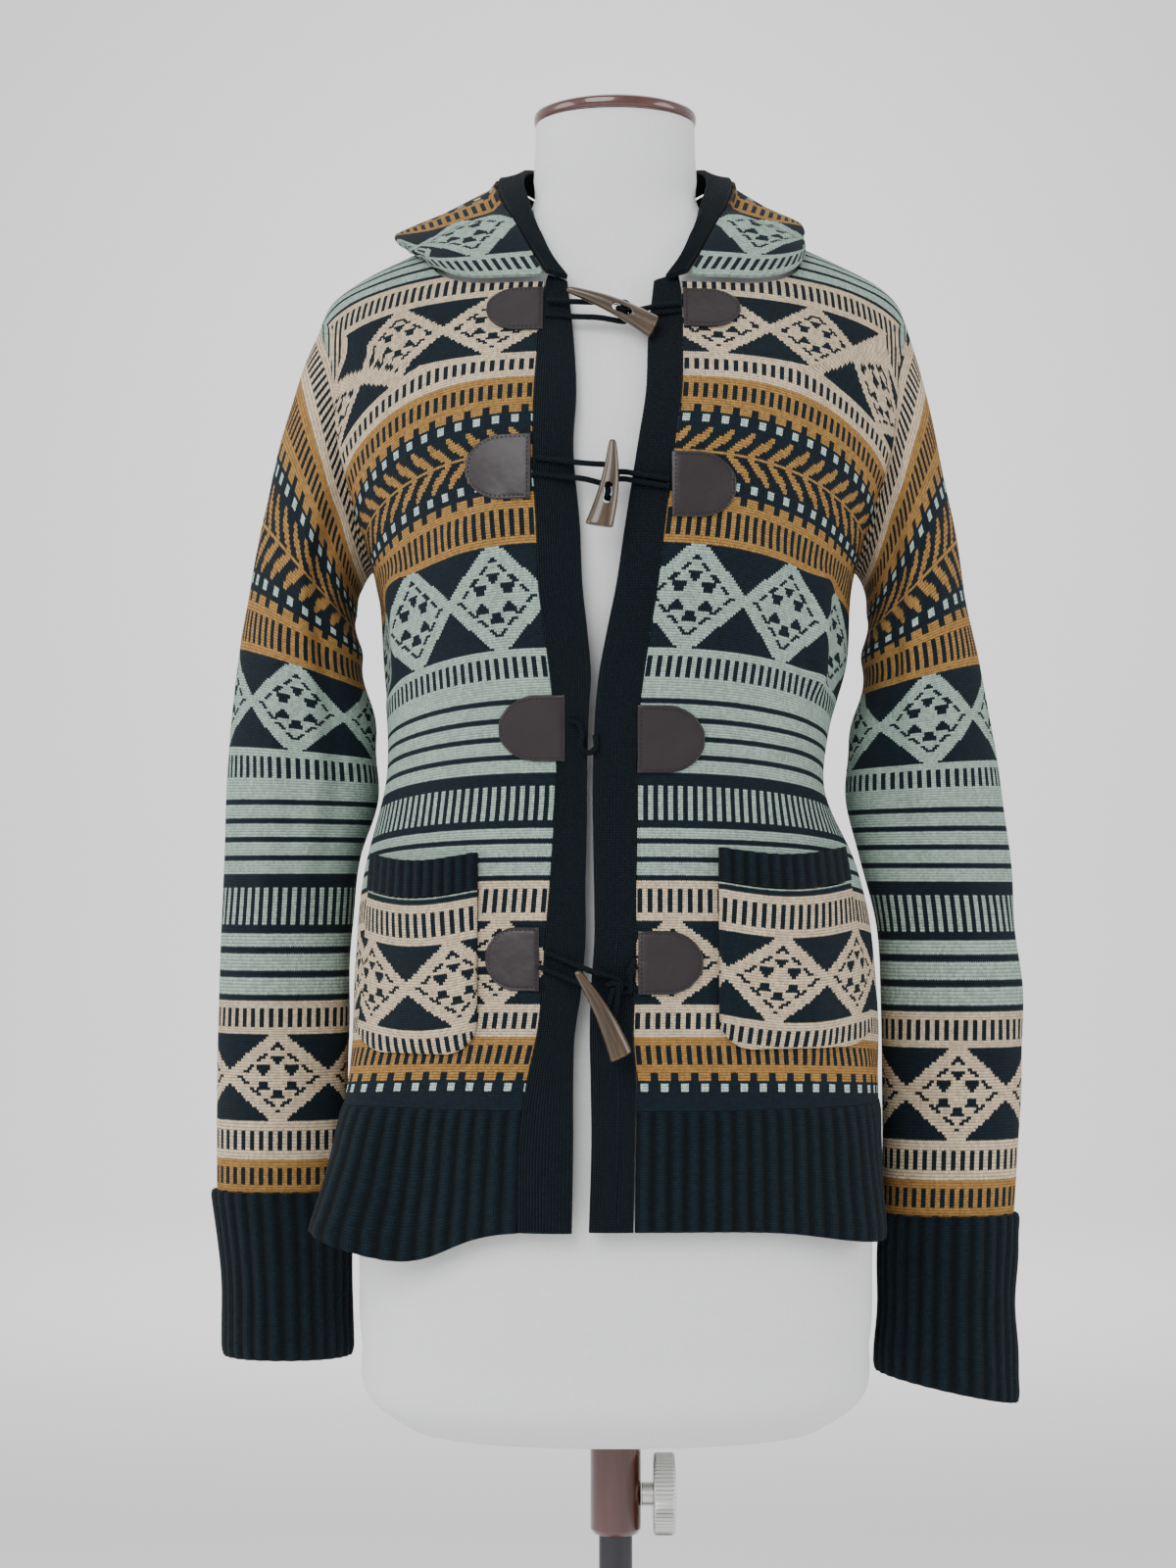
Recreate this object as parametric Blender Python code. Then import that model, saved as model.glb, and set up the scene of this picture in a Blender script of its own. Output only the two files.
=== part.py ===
"""Hooded toggle cardigan, worn open on a limbless dress form.

Metres, +Z up, the front faces -Y, left is -X. The origin is at the centre of the base's
underside. The cloth is walls worked out from the body sections below.
"""
import math

import bmesh
import bpy
import numpy as np

SEAM_GAP = 0.0003
CLOTH = 0.0022
BAND_CLOTH = 0.0028
CUFF_CLOTH = 0.0044
RIB_RISE = 0.0014
LEATHER = 0.0015
PATCH_CLEAR = 0.0009
CORD_RADIUS = 0.0017

HEM_SEAM_Z = 0.905
ARMPIT_Z = 1.238
SHOULDER_Z = 1.392
NECK_SIDE_Z = 1.460
NECK_FRONT_Z = 1.406
ARMHOLE_DEPTH = 0.050
ARM_STEPS = 10
FRONT_COLUMNS = 10
BAND_COLUMN_COUNT = 4
BACK_COLUMN_COUNT = 17
HOOD_STEPS = 12
CUFF_RIBS = 28
POCKET_RIBS = 12
HEM_DEPTH = 0.070
HEM_Z = 0.834
BAND_CROWN = 0.0008
BAND_GAP_ANGLE = 0.5 * SEAM_GAP / 0.12
SLEEVE_POWER = 2.15
SLEEVE_CREASE = 0.0025

BASE_RADIUS = 0.170
BASE_THICK = 0.012
HUB_RADIUS = 0.021
HUB_TOP = 0.042
POLE_RADIUS = 0.0105
POLE_TOP = 1.020
COLLAR_RADIUS = 0.0160
COLLAR_BORE = 0.0112
COLLAR_BOTTOM = 0.631
FORM_BOTTOM = 0.700
FORM_BORE = 0.0125
FORM_BORE_TOP = 1.100
CAP_RADIUS = 0.0520
CAP_BOTTOM = 1.5233
CAP_TOP = 1.5325
CAP_SHIFT = 0.0015
FORM_SIDES = 28
FITTING_SIDES = 20
BASE_SIDES = 32
HARD_DEGREES = 35.0
KNOB_Z = 0.655
KNOB_RADIUS = 0.0255

# Outer surface of the cardigan's body. Columns: z, left, right, front, back, power, which are
# the height, the two half widths, the two depths and the roundness.
BODY = np.array([
    (0.800, 0.1648, 0.1648, 0.1260, 0.1300, 2.40),
    (0.905, 0.1648, 0.1648, 0.1260, 0.1300, 2.40),
    (0.990, 0.1640, 0.1630, 0.1230, 0.1260, 2.35),
    (1.050, 0.1580, 0.1520, 0.1180, 0.1170, 2.30),
    (1.100, 0.1455, 0.1320, 0.1140, 0.1060, 2.20),
    (1.135, 0.1440, 0.1350, 0.1190, 0.1020, 2.20),
    (1.175, 0.1470, 0.1460, 0.1260, 0.1020, 2.20),
    (1.235, 0.1535, 0.1515, 0.1380, 0.1060, 2.20),
    (1.270, 0.1680, 0.1660, 0.1390, 0.1080, 2.15),
    (1.310, 0.1840, 0.1830, 0.1330, 0.1100, 2.10),
    (1.360, 0.1890, 0.1880, 0.1120, 0.1070, 2.10),
    (1.394, 0.1870, 0.1850, 0.0920, 0.0970, 2.10),
    (1.407, 0.1800, 0.1790, 0.0840, 0.0920, 2.10),
    (1.420, 0.1640, 0.1640, 0.0760, 0.0860, 2.05),
    (1.434, 0.1370, 0.1370, 0.0690, 0.0790, 2.00),
    (1.447, 0.1085, 0.1085, 0.0610, 0.0710, 2.00),
    (1.458, 0.0830, 0.0830, 0.0540, 0.0640, 2.00),
    (1.466, 0.0690, 0.0690, 0.0490, 0.0600, 2.00),
])

# Dress form under the cloth, in the same columns.
FORM = np.array([
    (0.7000, 0.1300, 0.1300, 0.0860, 0.0940, 2.25),
    (0.7100, 0.1460, 0.1460, 0.0985, 0.1065, 2.25),
    (0.7550, 0.1595, 0.1595, 0.1095, 0.1180, 2.30),
    (0.8000, 0.1612, 0.1612, 0.1120, 0.1200, 2.30),
    (0.9300, 0.1575, 0.1575, 0.1115, 0.1170, 2.30),
    (0.9900, 0.1500, 0.1500, 0.1070, 0.1100, 2.25),
    (1.0500, 0.1360, 0.1360, 0.1010, 0.0990, 2.20),
    (1.1000, 0.1230, 0.1230, 0.0980, 0.0910, 2.15),
    (1.1400, 0.1240, 0.1240, 0.1020, 0.0890, 2.15),
    (1.2350, 0.1410, 0.1410, 0.1280, 0.0980, 2.15),
    (1.2700, 0.1480, 0.1480, 0.1300, 0.1000, 2.15),
    (1.3100, 0.1580, 0.1580, 0.1230, 0.1020, 2.10),
    (1.3600, 0.1660, 0.1660, 0.1030, 0.0980, 2.10),
    (1.3900, 0.1680, 0.1680, 0.0860, 0.0890, 2.10),
    (1.4070, 0.1640, 0.1640, 0.0760, 0.0830, 2.10),
    (1.4200, 0.1530, 0.1530, 0.0680, 0.0760, 2.05),
    (1.4340, 0.1270, 0.1270, 0.0580, 0.0690, 2.00),
    (1.4470, 0.0960, 0.0960, 0.0510, 0.0610, 2.00),
    (1.4580, 0.0660, 0.0660, 0.0480, 0.0540, 2.00),
    (1.4680, 0.0545, 0.0545, 0.0470, 0.0515, 2.00),
    (1.4900, 0.0520, 0.0520, 0.0470, 0.0505, 2.00),
    (1.5230, 0.0505, 0.0505, 0.0470, 0.0500, 2.00),
])

# Edges of the two front bands, as places across the front.
BAND_COLUMNS = ("z", "left_outer", "left_inner", "right_inner", "right_outer")
BANDS = np.array([
    (0.834, -0.0588, -0.0270, -0.0170, 0.0097),
    (0.890, -0.0578, -0.0262, -0.0155, 0.0105),
    (0.925, -0.0530, -0.0262, -0.0160, 0.0112),
    (0.948, -0.0480, -0.0255, -0.0165, 0.0095),
    (0.976, -0.0446, -0.0215, -0.0158, 0.0104),
    (1.005, -0.0429, -0.0190, -0.0138, 0.0110),
    (1.040, -0.0400, -0.0190, -0.0140, 0.0112),
    (1.063, -0.0385, -0.0184, -0.0144, 0.0117),
    (1.098, -0.0362, -0.0182, -0.0148, 0.0118),
    (1.121, -0.0368, -0.0178, -0.0142, 0.0122),
    (1.145, -0.0382, -0.0168, -0.0130, 0.0136),
    (1.162, -0.0400, -0.0158, -0.0112, 0.0157),
    (1.185, -0.0429, -0.0176, -0.0070, 0.0191),
    (1.213, -0.0466, -0.0207, -0.0012, 0.0236),
    (1.247, -0.0479, -0.0222, 0.0039, 0.0276),
    (1.300, -0.0502, -0.0262, 0.0121, 0.0341),
    (1.331, -0.0496, -0.0245, 0.0169, 0.0385),
    (1.369, -0.0472, -0.0262, 0.0188, 0.0397),
    (1.406, -0.0436, -0.0299, 0.0226, 0.0393),
])

# Sleeve sections below the armhole: outer and inner edge, depth of the middle, half depth.
# Columns: x_out, z_out, x_in, z_in, y_mid, half_depth.
LEFT_SLEEVE = np.array([
    (0.1985, 1.3660, 0.1600, 1.2300, 0.002, 0.0540),
    (0.2085, 1.3360, 0.1635, 1.2220, 0.005, 0.0560),
    (0.2170, 1.3050, 0.1655, 1.2120, 0.008, 0.0560),
    (0.2250, 1.2700, 0.1650, 1.2000, 0.010, 0.0550),
    (0.2330, 1.2290, 0.1625, 1.1850, 0.012, 0.0530),
    (0.2400, 1.1890, 0.1585, 1.1620, 0.014, 0.0490),
    (0.2455, 1.1440, 0.1535, 1.1310, 0.016, 0.0450),
    (0.2488, 1.1010, 0.1515, 1.0980, 0.018, 0.0410),
    (0.2505, 1.0580, 0.1625, 1.0580, 0.022, 0.0360),
    (0.2525, 1.0150, 0.1685, 1.0150, 0.024, 0.0320),
    (0.2540, 0.9650, 0.1705, 0.9650, 0.024, 0.0300),
    (0.2550, 0.9050, 0.1710, 0.9050, 0.024, 0.0290),
    (0.2548, 0.8440, 0.1715, 0.8440, 0.024, 0.0280),
])
RIGHT_SLEEVE = np.array([
    (0.1945, 1.3620, 0.1575, 1.2300, 0.002, 0.0540),
    (0.2025, 1.3300, 0.1600, 1.2220, 0.005, 0.0560),
    (0.2095, 1.2980, 0.1615, 1.2120, 0.008, 0.0560),
    (0.2170, 1.2620, 0.1610, 1.2000, 0.010, 0.0550),
    (0.2245, 1.2170, 0.1590, 1.1830, 0.012, 0.0530),
    (0.2330, 1.1770, 0.1560, 1.1580, 0.014, 0.0490),
    (0.2405, 1.1400, 0.1500, 1.1290, 0.016, 0.0450),
    (0.2475, 1.1010, 0.1470, 1.0970, 0.018, 0.0410),
    (0.2535, 1.0580, 0.1560, 1.0580, 0.022, 0.0360),
    (0.2570, 1.0120, 0.1680, 1.0120, 0.024, 0.0320),
    (0.2615, 0.9630, 0.1705, 0.9630, 0.024, 0.0300),
    (0.2590, 0.8900, 0.1712, 0.8900, 0.024, 0.0290),
    (0.2550, 0.8290, 0.1712, 0.8290, 0.024, 0.0280),
])
LEFT_CUFF = np.array([
    (0.2575, 0.8437, 0.1690, 0.8437, 0.024, 0.0310),
    (0.2510, 0.7930, 0.1695, 0.7930, 0.024, 0.0310),
    (0.2500, 0.7390, 0.1680, 0.7390, 0.024, 0.0310),
])
RIGHT_CUFF = np.array([
    (0.2575, 0.8287, 0.1690, 0.8287, 0.024, 0.0310),
    (0.2550, 0.7700, 0.1685, 0.7790, 0.024, 0.0310),
    (0.2570, 0.7090, 0.1660, 0.7290, 0.024, 0.0310),
])

# Half of the hood, for the right side: the edge that the band is sewn to, the inner edge
# of that band, and the centre seam from the neck round the pouch to the crown.
HOOD_EDGE = np.array([
    (0.0445, -0.0880, 1.4110),
    (0.0610, -0.0550, 1.4440),
    (0.0745, -0.0120, 1.4760),
    (0.0755, 0.0300, 1.4950),
    (0.0640, 0.0720, 1.4985),
    (0.0360, 0.1080, 1.4920),
    (0.0003, 0.1220, 1.4860),
])
HOOD_BAND_INNER = np.array([
    (0.0300, -0.0880, 1.4065),
    (0.0415, -0.0680, 1.4270),
    (0.0545, -0.0200, 1.4690),
    (0.0590, 0.0160, 1.4930),
    (0.0540, 0.0540, 1.5070),
    (0.0310, 0.0900, 1.5110),
    (0.0003, 0.1010, 1.5110),
])
HOOD_UNDER = np.array([
    (0.0003, 0.0640, 1.4665),
    (0.0003, 0.0860, 1.4440),
    (0.0003, 0.1040, 1.4090),
    (0.0003, 0.1160, 1.3600),
    (0.0003, 0.1185, 1.3100),
    (0.0003, 0.1240, 1.2750),
    (0.0003, 0.1380, 1.2620),
])
HOOD_CROWN = np.array([
    (0.0003, 0.1220, 1.4860),
    (0.0003, 0.1420, 1.4650),
    (0.0003, 0.1560, 1.4250),
    (0.0003, 0.1620, 1.3700),
    (0.0003, 0.1590, 1.3150),
    (0.0003, 0.1520, 1.2790),
    (0.0003, 0.1380, 1.2620),
])

# Halves of the hood: side, and how far each bulges out and hangs, as they differ.
HOOD_HALVES = {"left": (-1.0, 0.038, -0.016), "right": (1.0, 0.008, -0.006)}
HOOD_CLEAR = 0.0042
HOOD_SEAM_RISE = 0.0016
HOOD_BAND_CLEAR = 0.0034
HOOD_BAND_ROWS = 12

# Leather patches: straight edge, round end, bottom and top, in places on the fronts.
PATCHES = {
    "row1_left": (-0.0445, -0.0790, 1.3720, 1.4010),
    "row1_right": (0.0402, 0.0750, 1.3740, 1.4000),
    "row2_left": (-0.0512, -0.0900, 1.2660, 1.3050),
    "row2_right": (0.0320, 0.0700, 1.2550, 1.2940),
    "row3_left": (-0.0310, -0.0705, 1.1120, 1.1510),
    "row3_right": (0.0120, 0.0520, 1.1050, 1.1450),
    "row4_left": (-0.0462, -0.0780, 0.9755, 1.0130),
    "row4_right": (0.0122, 0.0507, 0.9735, 1.0110),
}

# Share of a patch's length that is straight, and the shares at which it has points.
PATCH_STRAIGHT = 0.42
PATCH_SHARES = (0.0, PATCH_STRAIGHT, 0.62, 0.79, 0.91, 0.98)

# Toggles: tip, butt, half width at the butt, and the place where the cords hook, which is
# at the slot in row 1. The slot of row 4 opens at the back only.
TOGGLES = {
    "row1": ((-0.0299, 1.3950), (0.0226, 1.3715), 0.0072, None),
    "row2": ((-0.0030, 1.2975), (-0.0112, 1.2468), 0.0082, (-0.0062, 1.2785)),
    "row4": ((-0.0240, 0.9880), (0.0022, 0.9375), 0.0070, (-0.0040, 0.9780)),
}
BLIND_SLOT = "row4"
TOGGLE_DEPTH = 0.0046
TOGGLE_TIP = 0.0018
TOGGLE_BEND = 0.0022
TOGGLE_CLEAR = 0.0006
TOGGLE_SIDES = 12
TOGGLE_SHARES = (0.0, 0.03, 0.15, 0.32, 0.5, 0.68, 0.84, 0.97, 1.0)
TOGGLE_END_SCALE = 0.72
SLOT_SIDES = 12
SLOT_CUT = 0.02
SLOT_HALF_LENGTH = 0.0064
SLOT_HALF_WIDTH = 0.0024
SLOT_PLACE = 0.61
LOOP_SPREAD = 0.0058
LEG_SPREAD = 0.0021
LEG_SIDESTEP = 0.0039
CORD_LAYER = 0.0039
CORD_CLEAR = 0.0016
LEFT_CORD_CLEAR = 0.0011
CORD_START = 0.0019

# Loose loop of the third row: places across and heights, from the left patch into the opening.
LOOSE_LOOP = ((-0.0290, 1.1360), (-0.0232, 1.1340), (-0.0208, 1.1275), (-0.0215, 1.1205),
              (-0.0170, 1.1165), (-0.0128, 1.1200), (-0.0132, 1.1270))

# Pockets: edge nearer the opening, side edge at the bottom and top, bottom, rib seam, top.
POCKETS = {
    "left": (-0.0825, -0.1575, -0.1480, 0.9375, 1.0350, 1.0570),
    "right": (0.0598, 0.1560, 0.1380, 0.9410, 1.0400, 1.0600),
}
POCKET_MOUTH = 0.0085
POCKET_SEAM = 0.0009
POCKET_CORNER = 0.020
POCKET_SAG = 0.006
POCKET_CLEAR = 0.0015

COLOURS = {
    "knit": ((0.20, 0.25, 0.23, 1.0), 0.95, 0.0),
    "rib": ((0.008, 0.018, 0.024, 1.0), 0.95, 0.0),
    "leather": ((0.045, 0.032, 0.033, 1.0), 0.45, 0.0),
    "horn": ((0.20, 0.13, 0.07, 1.0), 0.25, 0.0),
    "cord": ((0.008, 0.016, 0.022, 1.0), 0.9, 0.0),
    "linen": ((0.68, 0.70, 0.71, 1.0), 0.9, 0.0),
    "wood": ((0.055, 0.010, 0.006, 1.0), 0.2, 0.0),
    "steel": ((0.48, 0.48, 0.46, 1.0), 0.3, 1.0),
    "dark_metal": ((0.05, 0.05, 0.055, 1.0), 0.35, 1.0),
}


def material(kind):
    """One Principled material for each kind of stuff."""
    found = bpy.data.materials.get(kind)
    if found:
        return found
    colour, roughness, metallic = COLOURS[kind]
    made = bpy.data.materials.new(kind)
    made.use_nodes = True
    shader = made.node_tree.nodes["Principled BSDF"]
    shader.inputs["Base Color"].default_value = colour
    shader.inputs["Roughness"].default_value = roughness
    shader.inputs["Metallic"].default_value = metallic
    return made


def add_object(name, points, faces, kind, smooth_degrees=40.0):
    """A closed mesh from points and faces, with its faces turned outwards."""
    mesh = bpy.data.meshes.new(name)
    mesh.from_pydata([tuple(p) for p in points], [], faces)
    shell = bmesh.new()
    shell.from_mesh(mesh)
    bmesh.ops.recalc_face_normals(shell, faces=shell.faces)
    if shell.calc_volume(signed=True) < 0.0:
        bmesh.ops.reverse_faces(shell, faces=shell.faces)
    shell.to_mesh(mesh)
    shell.free()
    mesh.materials.append(material(kind))
    mesh.shade_smooth()
    mesh.set_sharp_from_angle(angle=math.radians(smooth_degrees))
    made = bpy.data.objects.new(name, mesh)
    bpy.context.scene.collection.objects.link(made)
    return made


def loft_faces(rings, sides):
    """Faces between rings of points that follow each other, and the two end caps."""
    faces = []
    for r in range(rings - 1):
        for k in range(sides):
            m = (k + 1) % sides
            faces.append((r * sides + k, r * sides + m, (r + 1) * sides + m, (r + 1) * sides + k))
    faces.append(tuple(range(sides)))
    faces.append(tuple((rings - 1) * sides + k for k in range(sides)))
    return faces


def table_at(table, z):
    """Smooth values of a table's columns at heights z: a cubic through its rows."""
    z = np.clip(np.asarray(z, float), table[0, 0], table[-1, 0])
    heights = table[:, 0]
    values = table[:, 1:]
    steps = np.diff(heights)[:, None]
    rates = np.diff(values, axis=0) / steps
    slopes = np.zeros_like(values)
    slopes[1:-1] = (rates[:-1] * steps[1:] + rates[1:] * steps[:-1]) / (steps[1:] + steps[:-1])
    slopes[0] = rates[0]
    slopes[-1] = rates[-1]
    row = np.clip(np.searchsorted(heights, z, side="right") - 1, 0, len(heights) - 2)
    width = (heights[row + 1] - heights[row])[..., None]
    t = (z - heights[row])[..., None] / width
    start = values[row] * (1 + 2 * t) * (1 - t) ** 2 + slopes[row] * width * t * (1 - t) ** 2
    end = values[row + 1] * t * t * (3 - 2 * t) + slopes[row + 1] * width * t * t * (t - 1)
    return start + end


def section_point(table, theta, z):
    """Point at angle theta of the section at height z; theta 0 is the front, +90 is right."""
    left, right, front, back, power = np.moveaxis(table_at(table, z), -1, 0)
    across = np.where(np.sin(theta) < 0, left, right)
    deep = np.where(np.cos(theta) > 0, front, back)
    x = across * np.sign(np.sin(theta)) * np.abs(np.sin(theta)) ** (2 / power)
    y = -deep * np.sign(np.cos(theta)) * np.abs(np.cos(theta)) ** (2 / power)
    return np.stack([x, y, np.broadcast_to(z, x.shape)], axis=-1)


def section_normal(table, theta, z):
    """Outward normal of the sections' surface, tilted by how the sections change with height."""
    left, right, front, back, power = np.moveaxis(table_at(table, z), -1, 0)
    across = np.where(np.sin(theta) < 0, left, right)
    deep = np.where(np.cos(theta) > 0, front, back)
    reach = 2 - 2 / power
    nx = np.sign(np.sin(theta)) * np.abs(np.sin(theta)) ** reach / across
    ny = -np.sign(np.cos(theta)) * np.abs(np.cos(theta)) ** reach / deep
    step = 0.001
    rise = (section_point(table, theta, z + step) - section_point(table, theta, z - step)) / (2 * step)
    nz = -(nx * rise[..., 0] + ny * rise[..., 1])
    normal = np.stack([nx, ny, nz], axis=-1)
    return normal / np.linalg.norm(normal, axis=-1, keepdims=True)


def bump(value, centre, width):
    """Soft hill of height 1."""
    return np.exp(-((value - centre) / width) ** 2)


def body_point(theta, z):
    """Outer surface of the cardigan's body, with its hem flares and its largest soft folds."""
    point = section_point(BODY, theta, z)
    normal = section_normal(BODY, theta, z)
    low = np.clip((1.0 - z) / 0.17, 0.0, 1.0) ** 1.6
    degrees = np.degrees(theta)
    flare = low * (0.040 * bump(degrees, -62.0, 14.0) + 0.014 * bump(degrees, 60.0, 14.0))
    flare = flare + low * (0.006 * bump(degrees, -150.0, 14.0) + 0.005 * bump(degrees, 140.0, 16.0))
    waist = bump(z, 1.10, 0.05)
    flare = flare + waist * (0.004 * bump(degrees, -120.0, 12.0) + 0.004 * bump(degrees, 128.0, 12.0))
    flat = normal * np.array([1.0, 1.0, 0.0])
    return point + flat * flare[..., None], normal


def angle_at_x(x, z):
    """Angle on the front where the section at height z has the given place across."""
    left, right, _, _, power = np.moveaxis(table_at(BODY, z), -1, 0)
    across = np.where(x < 0, left, right)
    return np.sign(x) * np.arcsin((np.abs(x) / across) ** (power / 2))


def angle_at_y(y, z):
    """Angle between 0 and 180 degrees where the section at height z has the given depth."""
    _, _, front, back, power = np.moveaxis(table_at(BODY, z), -1, 0)
    deep = np.where(y < 0, front, back)
    cosine = np.clip((np.abs(y) / deep) ** (power / 2), 0.0, 1.0)
    return np.arccos(-np.sign(y) * cosine)


def neck_height(theta):
    """Height of the neck seam round the body."""
    degrees = np.abs(np.degrees(theta))
    rise = np.clip((degrees - 24.0) / 58.0, 0.0, 1.0)
    rise = rise * rise * (3 - 2 * rise)
    back = np.clip((degrees - 90.0) / 90.0, 0.0, 1.0)
    return NECK_FRONT_Z + (NECK_SIDE_Z - NECK_FRONT_Z) * rise + 0.004 * back


def wall(name, outer, inner, kind, wrap=False):
    """Closed wall between two grids of rows and columns, with its rims."""
    rows, columns = outer.shape[:2]
    points = np.concatenate([outer.reshape(-1, 3), inner.reshape(-1, 3)])
    inside = rows * columns
    faces = []
    last = columns if wrap else columns - 1
    for r in range(rows - 1):
        for c in range(last):
            d = (c + 1) % columns
            a, b, e, f = r * columns + c, r * columns + d, (r + 1) * columns + d, (r + 1) * columns + c
            faces.append((a, b, e, f))
            faces.append((a + inside, f + inside, e + inside, b + inside))
    for c in range(last):
        d = (c + 1) % columns
        faces.append((c, c + inside, d + inside, d))
        a, b = (rows - 1) * columns + c, (rows - 1) * columns + d
        faces.append((a, b, b + inside, a + inside))
    if not wrap:
        for r in range(rows - 1):
            a, b = r * columns, (r + 1) * columns
            faces.append((a, b, b + inside, a + inside))
            a, b = a + columns - 1, b + columns - 1
            faces.append((a, a + inside, b + inside, b))
    return add_object(name, points, faces, kind)


def even_angles(start, end, z, count):
    """Angles from start to end with even steps along the section at height z."""
    fine = np.linspace(start, end, 200)
    points, _ = body_point(fine, np.full(200, z))
    length = np.concatenate([[0.0], np.cumsum(np.linalg.norm(np.diff(points, axis=0), axis=1))])
    return np.interp(np.linspace(0.0, length[-1], count), length, fine)


def panel_rows():
    """Heights of the panels' rows at the side seam, the armhole and the shoulder seam."""
    middle = 0.5 * (ARMPIT_Z + SHOULDER_Z)
    half = 0.5 * (SHOULDER_Z - ARMPIT_Z) + SEAM_GAP
    below = np.linspace(HEM_SEAM_Z, middle - half, 9)
    turn = np.linspace(0.0, math.pi, ARM_STEPS + 1)[1:]
    armhole = middle - half * np.cos(turn)
    yoke = np.linspace(armhole[-1], NECK_SIDE_Z, 4)[1:]
    return np.concatenate([below, armhole, yoke]), len(below), len(armhole)


def side_depths(rows, below, arm):
    """Distance of each row's end from the side line: the seam gap, or half the armhole."""
    turn = np.linspace(0.0, math.pi, ARM_STEPS + 1)[1:]
    depths = np.full(len(rows), 0.5 * SEAM_GAP)
    depths[below:below + arm] = np.maximum((ARMHOLE_DEPTH + SEAM_GAP) * np.sin(turn), 0.5 * SEAM_GAP)
    return depths


def panel_grid(starts, ends, rows, count):
    """Grid of points and normals between two edge angles, its rows dipping to the neckline."""
    share = (rows - HEM_SEAM_Z) / (NECK_SIDE_Z - HEM_SEAM_Z)
    theta = np.stack([even_angles(a, b, z, count) for a, b, z in zip(starts, ends, rows)])
    drop = neck_height(ends)[:, None] - neck_height(theta)
    return body_point(theta, rows[:, None] - share[:, None] * drop)


def placket_angle(column, z):
    """Angle of one band edge at height z."""
    x = table_at(BANDS, z)[..., BAND_COLUMNS.index(column) - 1]
    return angle_at_x(x, z)


def placket_rows(rows, ends):
    """Heights of the panel rows where they reach the band."""
    share = (rows - HEM_SEAM_Z) / (NECK_SIDE_Z - HEM_SEAM_Z)
    return rows - share * (neck_height(ends) - NECK_FRONT_Z)


def level_rim(outer, inner, row):
    """Keep a rim level, so that the wall meets its neighbour face to face."""
    inner[row, :, 2] = outer[row, :, 2]


FRONTS = {}


def build_fronts():
    """Left and right front, and their ribbed bands, on one surface for each side."""
    rows, below, arm = panel_rows()
    depths = side_depths(rows, below, arm)
    for side, sign in (("left", -1.0), ("right", 1.0)):
        ends = sign * angle_at_y(-depths, rows)
        heights = placket_rows(rows, ends)
        starts = placket_angle(side + "_outer", heights) + sign * BAND_GAP_ANGLE
        outer, normal = panel_grid(starts, ends, rows, FRONT_COLUMNS)
        inner = outer - normal * CLOTH
        level_rim(outer, inner, 0)
        wall("front_" + side, outer, inner, "knit")
        heights = np.concatenate([[hem_bottom(starts[0])], heights])
        edge = placket_angle(side + "_outer", heights) - sign * BAND_GAP_ANGLE
        lip = placket_angle(side + "_inner", heights)
        across = np.linspace(0.0, 1.0, BAND_COLUMN_COUNT)
        theta = lip[:, None] + (edge - lip)[:, None] * across
        band, band_normal = body_point(theta, np.repeat(heights[:, None], BAND_COLUMN_COUNT, axis=1))
        crown = BAND_CROWN * np.sin(np.linspace(0.0, math.pi, BAND_COLUMN_COUNT))[None, :, None]
        wall("band_" + side, band + band_normal * crown, band - band_normal * BAND_CLOTH, "rib")
        FRONTS[side] = (np.concatenate([band[1:], outer], axis=1),
                        np.concatenate([band_normal[1:], normal], axis=1))


def hem_bottom(theta):
    """Height of the hem's lower edge, which dips where it flares."""
    degrees = np.degrees(theta)
    dips = 0.020 * bump(degrees, -45.0, 16.0) + 0.011 * bump(degrees, 62.0, 24.0)
    return HEM_Z - dips - 0.006 * np.clip((np.abs(degrees) - 70.0) / 50.0, 0.0, 1.0)


def build_back():
    """Back panel, from side seam to side seam."""
    rows, below, arm = panel_rows()
    depths = side_depths(rows, below, arm)
    right = angle_at_y(depths, rows)
    left = 2 * math.pi - right
    share = (rows - HEM_SEAM_Z) / (NECK_SIDE_Z - HEM_SEAM_Z)
    theta = right[:, None] + (left - right)[:, None] * np.linspace(0.0, 1.0, BACK_COLUMN_COUNT)
    folded = np.where(theta > math.pi, theta - 2 * math.pi, theta)
    drop = neck_height(right)[:, None] - neck_height(folded)
    outer, normal = body_point(folded, rows[:, None] - share[:, None] * drop)
    inner = outer - normal * CLOTH
    level_rim(outer, inner, 0)
    wall("back", outer, inner, "knit")


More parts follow.
